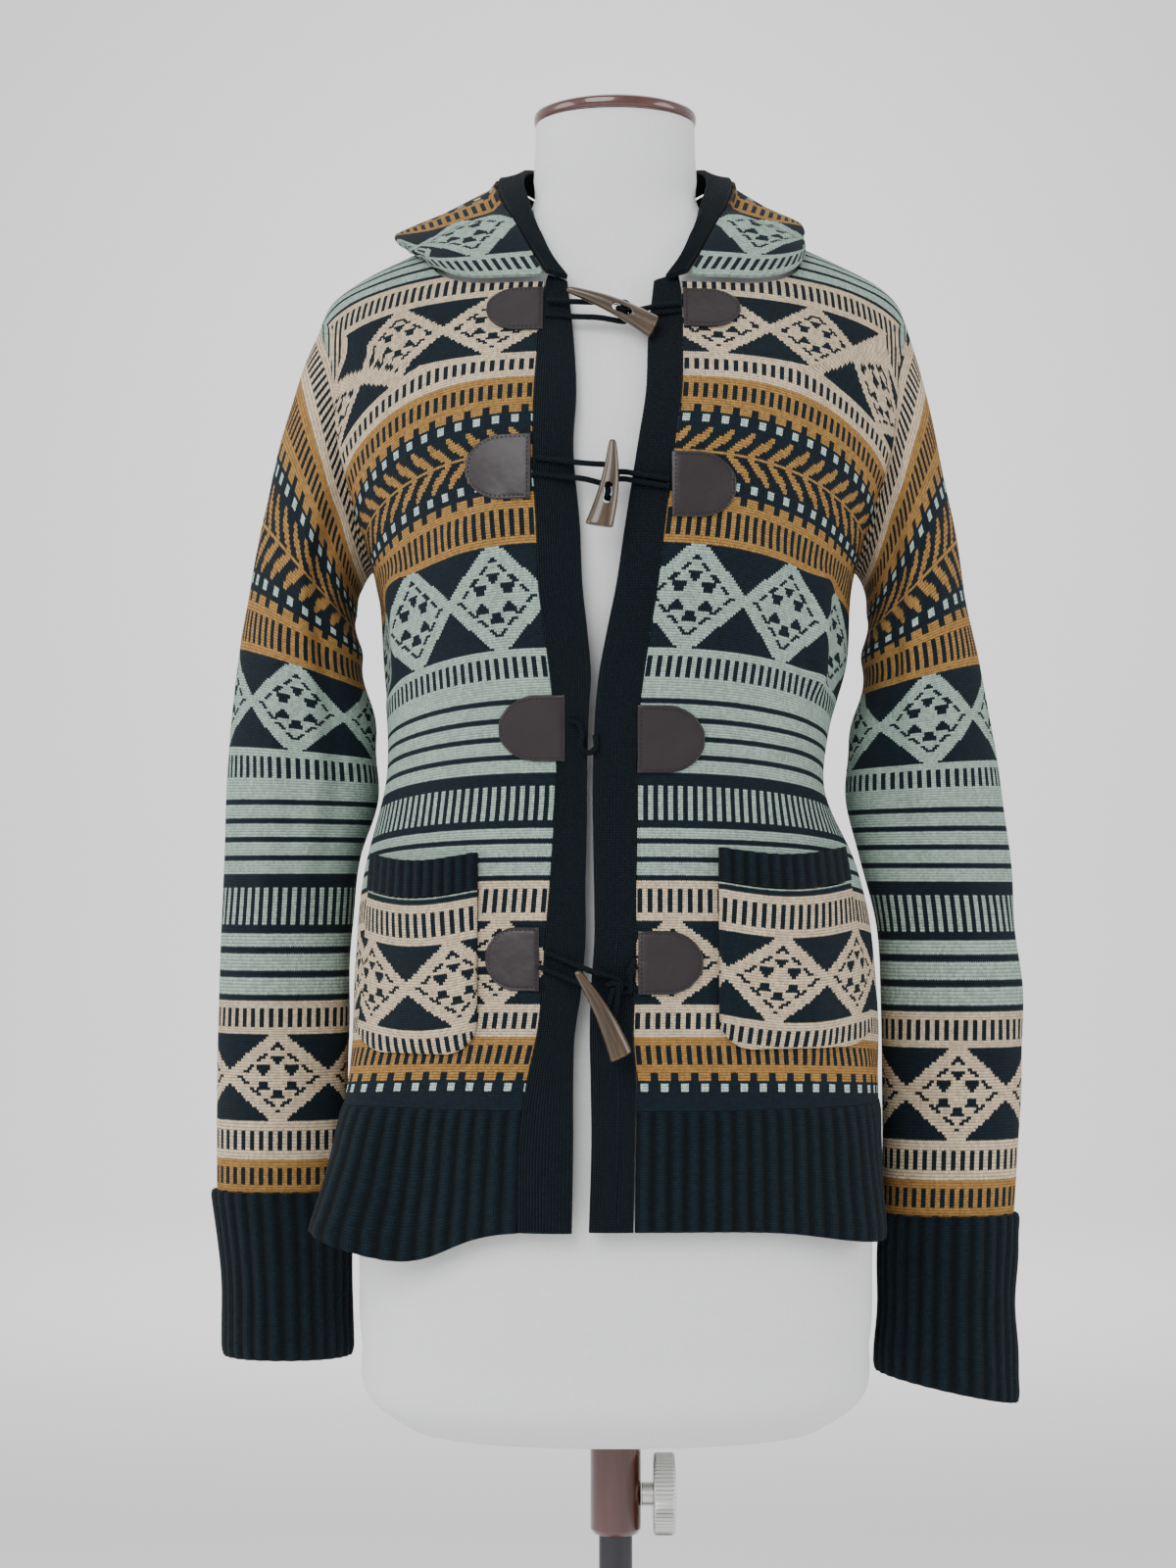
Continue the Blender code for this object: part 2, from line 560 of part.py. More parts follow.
def build_hem():
    """Ribbed hem in three pieces, its ribs raised on the outside."""
    side_left = -angle_at_y(np.array(-0.5 * SEAM_GAP), np.array(HEM_SEAM_Z))
    side_right = angle_at_y(np.array(-0.5 * SEAM_GAP), np.array(HEM_SEAM_Z))
    back_right = angle_at_y(np.array(0.5 * SEAM_GAP), np.array(HEM_SEAM_Z))
    pieces = {
        "hem_left": ("left_outer", -1.0, side_left, 20),
        "hem_right": ("right_outer", 1.0, side_right, 24),
        "hem_back": (None, 1.0, back_right, 52),
    }
    for name, (column, sign, side, ribs) in pieces.items():
        count = 2 * ribs + 1
        grid = []
        for share in (0.0, 1.0):
            level = HEM_SEAM_Z - SEAM_GAP - share * HEM_DEPTH
            if column:
                start = placket_angle(column, np.array(level)) + sign * BAND_GAP_ANGLE
                theta = even_angles(start, side, level, count)
            else:
                theta = even_angles(side, 2 * math.pi - side, level, count)
            theta = np.where(theta > math.pi, theta - 2 * math.pi, theta)
            top = HEM_SEAM_Z - SEAM_GAP
            grid.append((theta, top + share * (hem_bottom(theta) - top)))
        theta = np.stack([g[0] for g in grid])
        height = np.stack([g[1] for g in grid])
        base, normal = body_point(theta, height)
        rise = RIB_RISE * (np.arange(count) % 2)[None, :, None]
        outer = base + normal * rise * np.array([1.0, 1.0, 0.0])
        inner = base - normal * CLOTH * np.array([1.0, 1.0, 0.0])
        wall(name, outer, inner, "rib")


def tube_rows(table, sign, turns, power=SLEEVE_POWER):
    """Rings of a flattened sleeve from its edge table; also the rings' outward normals."""
    cosine = np.cos(turns)
    sine = np.sin(turns)
    wide = np.sign(cosine) * np.abs(cosine) ** (2 / power)
    deep = np.sign(sine) * np.abs(sine) ** (2 / power)
    rings = []
    normals = []
    for x_out, z_out, x_in, z_in, y_mid, half_depth in table:
        centre = np.array([0.5 * (x_out + x_in), y_mid, 0.5 * (z_out + z_in)])
        half = np.array([0.5 * (x_out - x_in), 0.0, 0.5 * (z_out - z_in)])
        ring = centre + wide[:, None] * half + deep[:, None] * np.array([0.0, half_depth, 0.0])
        unit = half / np.linalg.norm(half)
        reach = 2 - 2 / power
        out = (np.sign(cosine) * np.abs(cosine) ** reach / np.linalg.norm(half))[:, None] * unit
        out = out + (np.sign(sine) * np.abs(sine) ** reach / half_depth)[:, None] * np.array([0.0, 1.0, 0.0])
        rings.append(ring * np.array([sign, 1.0, 1.0]))
        normals.append(out / np.linalg.norm(out, axis=1, keepdims=True) * np.array([sign, 1.0, 1.0]))
    return np.stack(rings), np.stack(normals)


def build_sleeves():
    """Hollow sleeves, which start on the armhole's own curve."""
    middle = 0.5 * (ARMPIT_Z + SHOULDER_Z)
    half = 0.5 * (SHOULDER_Z - ARMPIT_Z)
    turns = np.arange(2 * ARM_STEPS) * math.pi / ARM_STEPS
    for side, sign, table in (("left", -1.0, LEFT_SLEEVE), ("right", 1.0, RIGHT_SLEEVE)):
        height = middle + half * np.cos(turns)
        depth = ARMHOLE_DEPTH * np.sin(turns)
        theta = sign * angle_at_y(depth, height)
        start, start_normal = body_point(theta, height)
        rings, normals = tube_rows(table, sign, turns)
        crease = np.sin(np.clip((table[:, 1] - 0.90) / 0.45, 0.0, 1.0) * math.pi)[:, None]
        crease = SLEEVE_CREASE * crease * bump(np.degrees(turns)[None, :], 285.0, 14.0)
        rings = rings + normals * crease[..., None]
        outer = np.concatenate([start[None], rings])
        normals = np.concatenate([start_normal[None], normals])
        normals[1] = normals[1] + 0.4 * start_normal
        normals[1] /= np.linalg.norm(normals[1], axis=1, keepdims=True)
        inner = outer - normals * CLOTH
        level_rim(outer, inner, len(outer) - 1)
        wall("sleeve_" + side, outer, inner, "knit", wrap=True)


def build_cuffs():
    """Turned-back cuffs of doubled rib, open below."""
    turns = np.arange(2 * CUFF_RIBS) * math.pi / CUFF_RIBS
    for side, sign, table in (("left", -1.0, LEFT_CUFF), ("right", 1.0, RIGHT_CUFF)):
        rings, normals = tube_rows(table, sign, turns)
        flat = normals * np.array([1.0, 1.0, 0.0])
        outer = rings + flat * (RIB_RISE * (np.arange(2 * CUFF_RIBS) % 2))[None, :, None]
        wall("cuff_" + side, outer, rings - flat * CUFF_CLOTH, "rib", wrap=True)


def curve_points(rows, shares):
    """Points on a smooth curve through the given rows, at shares 0 to 1 of its rows."""
    table = np.concatenate([np.linspace(0.0, 1.0, len(rows))[:, None], rows], axis=1)
    return table_at(table, shares)


def clear_of(table, points, margin):
    """Move points out along the sections' normal until they are the margin away from them."""
    points = points.copy()
    for _ in range(6):
        x, y, z = np.moveaxis(points, -1, 0)
        left, right, front, back, power = np.moveaxis(table_at(table, z), -1, 0)
        across = np.where(x < 0, left, right)
        deep = np.where(y < 0, front, back)
        along_x = (np.abs(x) / across) ** (power / 2)
        along_y = (np.abs(y) / deep) ** (power / 2)
        size = (along_x ** 2 + along_y ** 2) ** (1 / power)
        theta = np.arctan2(np.sign(x) * along_x, -np.sign(y) * along_y)
        normal = section_normal(table, theta, z)
        level = np.hypot(normal[..., 0], normal[..., 1])
        away = np.hypot(x, y) * (1 - 1 / np.maximum(size, 0.2)) * level
        push = np.clip(margin - away, 0.0, None) * (z < table[-1, 0])
        points = points + normal * push[..., None]
    return points


def grid_normals(grid, flip=1.0):
    """Unit normals of a grid from its own rows and columns."""
    down = np.gradient(grid, axis=0)
    over = np.gradient(grid, axis=1)
    normal = np.cross(over, down) * flip
    return normal / np.maximum(np.linalg.norm(normal, axis=-1, keepdims=True), 1e-9)


def hood_grid(spread, droop):
    """One half of the hood: a patch between its four edges, blown out to the side.

    s runs from the band to the centre seam, t from the neck seam to the crown.
    """
    s = np.linspace(0.0, 1.0, HOOD_STEPS)[None, :, None]
    t = np.linspace(0.0, 1.0, HOOD_STEPS)[:, None, None]
    corner_angle = placket_angle("right_outer", np.array(NECK_FRONT_Z))
    theta = np.linspace(corner_angle, math.pi - 0.006, HOOD_STEPS)
    seam, _ = body_point(theta, neck_height(theta))
    seam = seam + np.array([0.0, 0.0, HOOD_SEAM_RISE])
    seam[0] = HOOD_EDGE[0]
    seam[-1] = HOOD_UNDER[0]
    edge = curve_points(HOOD_EDGE, t[:, 0, 0])
    under = curve_points(HOOD_UNDER, t[:, 0, 0])
    crown = curve_points(HOOD_CROWN, s[0, :, 0])
    low = seam[None, :, :]
    high = crown[None, :, :]
    near = edge[:, None, :]
    far = under[:, None, :]
    corners = (1 - s) * (1 - t) * seam[0] + s * (1 - t) * seam[-1]
    corners = corners + (1 - s) * t * crown[0] + s * t * crown[-1]
    patch = (1 - t) * low + t * high + (1 - s) * near + s * far - corners
    side = np.sin(math.pi * t ** 0.85) * np.sin(math.pi * s ** 0.8)
    bag = (s * t) ** 2.4 * np.sqrt((1 - s) * (1 - t))
    patch = patch + side * np.array([spread, 0.0, droop]) + bag * np.array([0.85, -0.10, -0.05])
    moved = clear_of(BODY, patch, HOOD_CLEAR)
    moved[..., 0] = np.maximum(moved[..., 0], SEAM_GAP)
    moved[:, -1] = under
    moved[-1] = crown
    return moved


def build_hood():
    """Hood in two halves, let down as a pouch on the back, and the band round its edge."""
    for side, (sign, spread, droop) in HOOD_HALVES.items():
        middle = hood_grid(spread, droop) * np.array([sign, 1.0, 1.0])
        normal = grid_normals(middle, -sign)
        normal[:, -1, 0] = 0.0
        normal[-1, :, 0] = 0.0
        normal /= np.maximum(np.linalg.norm(normal, axis=-1, keepdims=True), 1e-9)
        wall("hood_" + side, middle + normal * 0.5 * CLOTH, middle - normal * 0.5 * CLOTH, "knit")


def build_hood_band():
    """The ribbed band that goes on from the fronts, round the hood's edge."""
    shares = np.linspace(0.0, 1.0, HOOD_BAND_ROWS)
    outer_edge = curve_points(HOOD_EDGE, shares)
    inner_edge = curve_points(HOOD_BAND_INNER, shares)
    along = outer_edge - inner_edge
    along /= np.linalg.norm(along, axis=1, keepdims=True)
    outer_edge = outer_edge - along * (2.2 * SEAM_GAP + 0.5 * CLOTH)
    across = np.linspace(0.0, 1.0, BAND_COLUMN_COUNT)[None, :, None]
    right = inner_edge[:, None] + (outer_edge - inner_edge)[:, None] * across
    lift = np.array([0.0, 0.0, SEAM_GAP * 2])
    right = clear_of(FORM, right + lift, HOOD_BAND_CLEAR)
    left = (right * np.array([-1.0, 1.0, 1.0]))[::-1]
    middle = np.concatenate([right, left[1:]])
    normal = grid_normals(middle, 1.0)
    wall("hood_band", middle + normal * 0.5 * BAND_CLOTH, middle - normal * 0.5 * BAND_CLOTH, "rib")


def locate(side, x, z):
    """Point and normal on a front where it has the given place across and height."""
    grid, normal = FRONTS[side]
    rows = np.arange(grid.shape[0])
    columns = np.arange(grid.shape[1])
    sign = 1.0 if side == "right" else -1.0
    row, column = 0.4 * len(rows), 0.4 * len(columns)
    for _ in range(25):
        low = min(int(row), len(rows) - 2)
        line = grid[low] + (row - low) * (grid[low + 1] - grid[low])
        column = np.interp(sign * x, sign * line[:, 0], columns)
        low = min(int(column), len(columns) - 2)
        line = grid[:, low] + (column - low) * (grid[:, low + 1] - grid[:, low])
        row = np.interp(z, line[:, 2], rows)
    r, c = min(int(row), len(rows) - 2), min(int(column), len(columns) - 2)
    u, v = row - r, column - c
    weights = ((1 - u) * (1 - v), (1 - u) * v, u * (1 - v), u * v)
    cells = ((r, c), (r, c + 1), (r + 1, c), (r + 1, c + 1))
    point = sum(w * grid[cell] for w, cell in zip(weights, cells))
    out = sum(w * normal[cell] for w, cell in zip(weights, cells))
    return point, out / np.linalg.norm(out)


def build_patches():
    """Leather patches with one straight edge and one round end."""
    for name, (straight, rounded, low, high) in PATCHES.items():
        side = name.split("_")[1]
        half = 0.5 * (high - low)
        outer = []
        inner = []
        for share in PATCH_SHARES:
            round_part = max(0.0, (share - PATCH_STRAIGHT) / (1.0 - PATCH_STRAIGHT))
            reach = half * math.sqrt(1.0 - round_part ** 2)
            x = straight + share * (rounded - straight)
            column = [locate(side, x, 0.5 * (low + high) + k * reach) for k in (-1.0, 0.0, 1.0)]
            inner.append([p + n * PATCH_CLEAR for p, n in column])
            outer.append([p + n * (PATCH_CLEAR + LEATHER) for p, n in column])
        wall("patch_" + name, np.array(outer), np.array(inner), "leather")


def pocket_point(side, u, v, edges):
    """Point of the pocket's back face: u from the inner edge to the side, v bottom to top."""
    inner_x, side_low, side_high, bottom, seam, top = edges
    side_x = side_low + v * (side_high - side_low)
    x = inner_x + u * (side_x - inner_x)
    width = abs(side_x - inner_x)
    edge = min(u, 1.0 - u) * width
    short = max(POCKET_CORNER - edge, 0.0)
    rounding = POCKET_CORNER - math.sqrt(max(POCKET_CORNER ** 2 - short ** 2, 0.0))
    split = (seam - bottom) / (top - bottom)
    sag = POCKET_SAG * math.sin(math.pi * u)
    z = bottom + v * (top - bottom) - sag * min(1.0, v / split)
    z = z + rounding * max(0.0, 1.0 - v / split)
    point, normal = locate(side, x, z)
    puff = POCKET_MOUTH * math.sin(math.pi * min(max(u, 0.0), 1.0)) ** 0.7 * min(1.0, v * 1.5) ** 0.8
    return point + normal * (POCKET_CLEAR + puff), normal


def build_pockets():
    """Patch pockets, a little open at the mouth, with their ribbed tops."""
    for side, edges in POCKETS.items():
        bottom, seam, top = edges[3:]
        split = (seam - bottom) / (top - bottom)
        part = 0.5 * POCKET_SEAM / (top - bottom)
        us = np.linspace(0.0, 1.0, 10)
        vs = np.linspace(0.0, split - part, 6)
        grid = [[pocket_point(side, u, v, edges) for u in us] for v in vs]
        inner = np.array([[p for p, n in row] for row in grid])
        outer = np.array([[p + n * CLOTH for p, n in row] for row in grid])
        wall("pocket_" + side, outer, inner, "knit")
        us = np.linspace(0.0, 1.0, 2 * POCKET_RIBS + 1)
        grid = [[pocket_point(side, u, v, edges) for u in us] for v in (split + part, 1.0)]
        inner = np.array([[p for p, n in row] for row in grid])
        rise = [CLOTH + RIB_RISE * (k % 2) for k in range(2 * POCKET_RIBS + 1)]
        outer = np.array([[p + n * h for (p, n), h in zip(row, rise)] for row in grid])
        wall("pocket_rib_" + side, outer, inner, "rib")


def front_depth(x, z):
    """Depth of the front surface at a place across the opening."""
    theta = angle_at_x(np.array(x), np.array(z))
    return float(body_point(theta, np.array(z))[0][1])


def cord(name, points):
    """Round cord along its points."""
    curve = bpy.data.curves.new(name, "CURVE")
    curve.dimensions = "3D"
    curve.bevel_depth = CORD_RADIUS
    curve.bevel_resolution = 2
    curve.use_fill_caps = True
    spline = curve.splines.new("POLY")
    spline.points.add(len(points) - 1)
    for spot, point in zip(spline.points, points):
        spot.co = (*point, 1.0)
    curve.materials.append(material("cord"))
    made = bpy.data.objects.new(name, curve)
    bpy.context.scene.collection.objects.link(made)
    return made


def over_band(x, z, depth, clear=CORD_CLEAR):
    """Depth of a cord's middle, held clear of the front surface behind it."""
    return min(depth, front_depth(x, z) - CORD_RADIUS - clear)


def loop_path(start, hook, depth_at_hook):
    """A doubled cord: out from the patch, round the hook, and back."""
    start = np.array(start)
    total = np.linalg.norm(hook - start)
    along = (hook - start) / total
    across = np.array([-along[1], along[0]])
    turns = np.linspace(0.0, math.pi, 7)
    bend = [hook + LOOP_SPREAD * (across * math.cos(a) + along * math.sin(a)) for a in turns]
    out = [start + across * 0.8 * LOOP_SPREAD + k * (hook - start) for k in (0.0, 0.35, 0.7)]
    home = [start - across * 0.8 * LOOP_SPREAD + k * (hook - start) for k in (0.7, 0.35, 0.0)]
    points = []
    for place in out + bend + home:
        share = min(max(float(np.dot(place - start, along)) / total / 0.8, 0.0), 1.0)
        ease = share * share * (3 - 2 * share)
        depth = over_band(*start, 0.0, LEFT_CORD_CLEAR) * (1 - ease) + depth_at_hook * ease
        points.append((place[0], over_band(*place, depth, LEFT_CORD_CLEAR), place[1]))
    return points


def slot_place(row):
    """Centre of a toggle's slot and the direction of the toggle, on the front's plane."""
    tip, butt = np.array(TOGGLES[row][0]), np.array(TOGGLES[row][1])
    along = (butt - tip) / np.linalg.norm(butt - tip)
    across = np.array([-along[1], along[0]])
    return tip + SLOT_PLACE * (butt - tip) + across * TOGGLE_BEND * math.sin(math.pi * SLOT_PLACE), along


def build_toggle(row, depth):
    """Horn toggle: a bent, tapered round with an oval slot through it, front to back."""
    tip, butt, half_width = np.array(TOGGLES[row][0]), np.array(TOGGLES[row][1]), TOGGLES[row][2]
    slot, along = slot_place(row)
    across = np.array([-along[1], along[0]])
    points = []
    for share in TOGGLE_SHARES:
        width = TOGGLE_TIP + (half_width - TOGGLE_TIP) * share ** 0.8
        thick = TOGGLE_TIP + (TOGGLE_DEPTH - TOGGLE_TIP) * share ** 0.6
        if share in (0.0, 1.0):
            width, thick = TOGGLE_END_SCALE * width, TOGGLE_END_SCALE * thick
        bend = TOGGLE_BEND * math.sin(math.pi * share)
        centre = tip + share * (butt - tip) + across * bend
        for k in range(TOGGLE_SIDES):
            a = 2 * math.pi * k / TOGGLE_SIDES
            place = centre + across * width * math.cos(a)
            points.append((place[0], depth + thick * math.sin(a), place[1]))
    faces = loft_faces(len(TOGGLE_SHARES), TOGGLE_SIDES)
    toggle = add_object("toggle_" + row, points, faces, "horn")
    outline = []
    shift = SLOT_HALF_LENGTH - SLOT_HALF_WIDTH
    for k in range(SLOT_SIDES):
        a = 2 * math.pi * (k + 0.5) / SLOT_SIDES
        reach = along * (SLOT_HALF_WIDTH * math.cos(a) + math.copysign(shift, math.cos(a)))
        outline.append(slot + reach + across * SLOT_HALF_WIDTH * math.sin(a))
    front = 0.65 * TOGGLE_DEPTH if row == BLIND_SLOT else SLOT_CUT
    cut_points = [(p[0], depth - front, p[1]) for p in outline]
    cut_points += [(p[0], depth + SLOT_CUT, p[1]) for p in outline]
    cutter = add_object("slot_cutter_" + row, cut_points, loft_faces(2, SLOT_SIDES), "horn")
    cutter.hide_render = True
    cutter.display_type = "WIRE"
    cutter.hide_set(True)
    cut = toggle.modifiers.new("slot", "BOOLEAN")
    cut.operation = "DIFFERENCE"
    cut.solver = "EXACT"
    cut.object = cutter


def leg_path(row, start, hook, near, toggle_depth, sign):
    """One strand of the right cord: through the left loop at the hook, then into the slot.

    sign is 1 for the upper strand and -1 for the lower one.
    """
    slot, along = slot_place(row)
    spread = sign * LEG_SPREAD
    half_way = 0.5 * (np.array(start) + hook) + np.array([0.004, 0.0])
    route = [
        (start[0], over_band(*start, 0.0), start[1] + spread),
        (half_way[0], over_band(*half_way, near), half_way[1] + spread),
        (hook[0] + 0.0110, near, hook[1] + spread),
        (hook[0] + 0.0040, near, hook[1] + spread),
    ]
    target = slot - along * spread
    over = near - CORD_LAYER
    if TOGGLES[row][3] is None:
        route.append((0.5 * (hook[0] + target[0]) + 0.0010, near - 0.5 * CORD_LAYER,
                      0.5 * (hook[1] + target[1]) + 0.6 * spread))
    else:
        over = over - CORD_LAYER
        turned_hook = hook - along * spread
        route.append((turned_hook[0], near - CORD_LAYER, turned_hook[1]))
        route.append((turned_hook[0], over, turned_hook[1]))
        if sign > 0:
            aside = LEG_SIDESTEP * np.array([-along[1], along[0]])
            target = slot + along * spread
            beside = hook + aside + along * 0.0010
            route.append((beside[0], over, beside[1]))
            beside = slot + aside + along * 0.0004
            route.append((beside[0], over, beside[1]))
        else:
            target = slot + along * spread
    route.append((target[0], over, target[1]))
    route.append((target[0], toggle_depth, target[1]))
    return np.array(route)


def build_fastenings():
    """Toggles in their cord loops, and the loose loop of the third row."""
    for row, (_, _, _, hook) in TOGGLES.items():
        left = PATCHES[row + "_left"]
        right = PATCHES[row + "_right"]
        left_start = (left[0] + CORD_START, 0.5 * (left[2] + left[3]))
        right_start = (right[0] - CORD_START, 0.5 * (right[2] + right[3]))
        slot, _ = slot_place(row)
        place = slot if hook is None else np.array(hook)
        near = over_band(*slot, over_band(*place, 0.0))
        layers = 1 if hook is None else 2
        toggle_depth = near - layers * CORD_LAYER - CORD_RADIUS - TOGGLE_DEPTH - TOGGLE_CLEAR
        build_toggle(row, toggle_depth)
        cord("loop_left_" + row, loop_path(left_start, place, near - CORD_LAYER))
        strands = []
        for sign in (1.0, -1.0):
            leg = leg_path(row, right_start, place, near, toggle_depth, sign)
            strands.append(curve_points(leg, np.linspace(0.0, 1.0, 2 * len(leg) - 1)))
        cord("loop_right_" + row, [tuple(p) for p in np.concatenate([strands[0], strands[1][::-1]])])
    route = np.array([(x, over_band(x, z, 0.0), z) for x, z in LOOSE_LOOP])
    cord("loop_left_row3", [tuple(p) for p in curve_points(route, np.linspace(0.0, 1.0, 14))])


def turned(name, profile, kind, sides, centre=(0.0, 0.0)):
    """Solid turned about an upright axis from a closed profile of radius and height."""
    points = []
    for radius, height in profile:
        for k in range(sides):
            a = 2 * math.pi * k / sides
            points.append((centre[0] + radius * math.cos(a), centre[1] + radius * math.sin(a), height))
    return add_object(name, points, loft_faces(len(profile), sides), kind, HARD_DEGREES)


def build_form():
    """Torso of the dress form, with the bore that the pole runs in, and its neck cap."""
    sides = FORM_SIDES
    turns = 2 * math.pi * (np.arange(sides) + 0.5) / sides
    rings = []
    circle = np.stack([np.sin(turns), -np.cos(turns)], axis=1)
    for radius, height in ((FORM_BORE, FORM_BORE_TOP), (FORM_BORE, FORM_BOTTOM)):
        rings.append(np.concatenate([circle * radius, np.full((sides, 1), height)], axis=1))
    heights = FORM[:, 0]
    folded = np.where(turns > math.pi, turns - 2 * math.pi, turns)
    for height in heights:
        rings.append(section_point(FORM, folded, np.full(sides, height)))
    add_object("form_torso", np.concatenate(rings), loft_faces(len(rings), sides), "linen")
    cap = [(CAP_RADIUS - 0.0012, CAP_BOTTOM), (CAP_RADIUS, CAP_BOTTOM + 0.0020),
           (CAP_RADIUS, CAP_BOTTOM + 0.0060), (CAP_RADIUS - 0.003, CAP_TOP - 0.001), (0.030, CAP_TOP)]
    turned("neck_cap", cap, "wood", FORM_SIDES, (0.0, CAP_SHIFT))


def build_stand():
    """Wooden collar, clamp knob, pole and round base."""
    collar = [(COLLAR_BORE, FORM_BOTTOM - SEAM_GAP), (COLLAR_BORE, COLLAR_BOTTOM),
              (COLLAR_RADIUS - 0.0018, COLLAR_BOTTOM), (COLLAR_RADIUS, COLLAR_BOTTOM + 0.003),
              (COLLAR_RADIUS, FORM_BOTTOM - 0.006), (COLLAR_RADIUS + 0.0015, FORM_BOTTOM - SEAM_GAP)]
    ring_solid("pole_collar", collar, "wood", FITTING_SIDES)
    knob = [(0.0164, 0.0075), (0.0236, 0.0075), (0.0236, KNOB_RADIUS - 0.0012), (0.0250, KNOB_RADIUS),
            (0.0358, KNOB_RADIUS), (0.0372, KNOB_RADIUS - 0.0012)]
    points = []
    for x, radius in knob:
        for k in range(FITTING_SIDES):
            a = 2 * math.pi * k / FITTING_SIDES
            points.append((x, radius * math.cos(a), KNOB_Z + radius * math.sin(a)))
    add_object("clamp_knob", points, loft_faces(len(knob), FITTING_SIDES), "steel", HARD_DEGREES)
    turned("pole", [(POLE_RADIUS, HUB_TOP + SEAM_GAP), (POLE_RADIUS, POLE_TOP - 0.002),
                    (POLE_RADIUS - 0.002, POLE_TOP)], "dark_metal", FITTING_SIDES)
    turned("base", [(BASE_RADIUS - 0.002, 0.0), (BASE_RADIUS, 0.002), (BASE_RADIUS, BASE_THICK - 0.003),
                    (BASE_RADIUS - 0.003, BASE_THICK), (HUB_RADIUS + 0.004, BASE_THICK + 0.003),
                    (HUB_RADIUS, BASE_THICK + 0.008), (HUB_RADIUS - 0.003, HUB_TOP - 0.002),
                    (HUB_RADIUS - 0.005, HUB_TOP)], "dark_metal", BASE_SIDES)


def ring_solid(name, profile, kind, sides):
    """Ring turned about the upright axis from a closed outline, so that it keeps its bore."""
    points = []
    faces = []
    count = len(profile)
    for radius, height in profile:
        for k in range(sides):
            a = 2 * math.pi * k / sides
            points.append((radius * math.cos(a), radius * math.sin(a), height))
    for r in range(count):
        n = (r + 1) % count
        for k in range(sides):
            m = (k + 1) % sides
            faces.append((r * sides + k, r * sides + m, n * sides + m, n * sides + k))
    return add_object(name, points, faces, kind, HARD_DEGREES)


def main():
    """Clear the scene and build every piece."""
    for old in list(bpy.data.objects):
        bpy.data.objects.remove(old, do_unlink=True)
    build_stand()
    build_form()
    build_fronts()
    build_back()
    build_hem()
    build_sleeves()
    build_cuffs()
    build_hood()
    build_hood_band()
    build_patches()
    build_pockets()
    build_fastenings()


main()
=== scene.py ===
"""Looks of a hooded toggle cardigan, worn open on a limbless dress form.

Every knitted piece is a thin shell over the same sections as the solid that it stands for.
Metres, +Z up, the front faces -Y, left is -X. Knit is counted in stitches across and rows up.
"""
import math

import bpy
import numpy as np
from bpy.props import FloatProperty, FloatVectorProperty
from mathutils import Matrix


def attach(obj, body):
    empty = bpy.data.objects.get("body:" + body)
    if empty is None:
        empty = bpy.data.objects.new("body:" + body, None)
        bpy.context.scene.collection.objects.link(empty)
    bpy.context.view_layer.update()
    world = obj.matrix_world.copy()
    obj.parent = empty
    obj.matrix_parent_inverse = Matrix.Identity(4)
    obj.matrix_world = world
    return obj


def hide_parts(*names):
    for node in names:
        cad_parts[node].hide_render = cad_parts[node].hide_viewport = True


bl_info = {
    "name": "Toggle cardigan looks",
    "version": (1, 0, 0),
    "blender": (4, 5, 0),
    "location": "View3D > Sidebar > Cardigan",
    "description": "Builds the knit, leather, horn and form pieces around the packed model",
    "category": "Object",
}

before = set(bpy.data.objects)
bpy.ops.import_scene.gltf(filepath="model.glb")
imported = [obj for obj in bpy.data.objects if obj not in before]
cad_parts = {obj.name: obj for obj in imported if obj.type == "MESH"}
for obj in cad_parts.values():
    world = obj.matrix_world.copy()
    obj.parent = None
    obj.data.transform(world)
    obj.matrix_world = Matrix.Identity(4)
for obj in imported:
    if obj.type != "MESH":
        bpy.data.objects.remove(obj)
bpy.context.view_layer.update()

SEAM_GAP = 0.0003
CLOTH = 0.0022
BAND_CLOTH = 0.0028
CUFF_CLOTH = 0.0044
RIB_RISE = 0.0014
LEATHER = 0.0015
PATCH_CLEAR = 0.0009
CORD_RADIUS = 0.0017
BAND_GAP_ANGLE = 0.5 * SEAM_GAP / 0.12

HEM_SEAM_Z = 0.905
ARMPIT_Z = 1.238
SHOULDER_Z = 1.392
NECK_SIDE_Z = 1.460
NECK_FRONT_Z = 1.406
ARMHOLE_DEPTH = 0.050
HEM_Z = 0.834
HEM_DEPTH = 0.070
CUFF_LENGTH = 0.10
SLEEVE_POWER = 2.15
SLEEVE_CREASE = 0.0025
HOOD_STEPS = 72
HOOD_CLEAR = 0.0042
HOOD_SEAM_RISE = 0.0016
HOOD_BAND_CLEAR = 0.0034

BASE_RADIUS = 0.170
BASE_THICK = 0.012
HUB_RADIUS = 0.021
HUB_TOP = 0.042
POLE_RADIUS = 0.0105
POLE_TOP = 1.020
COLLAR_RADIUS = 0.0160
COLLAR_BORE = 0.0112
COLLAR_BOTTOM = 0.631
FORM_BOTTOM = 0.700
FORM_BORE = 0.0125
FORM_BORE_TOP = 1.100
CAP_RADIUS = 0.0520
CAP_BOTTOM = 1.5233
CAP_TOP = 1.5325
KNOB_Z = 0.655
KNOB_RADIUS = 0.0255
FORM_SIDES = 160
FORM_GIRTH = 0.90

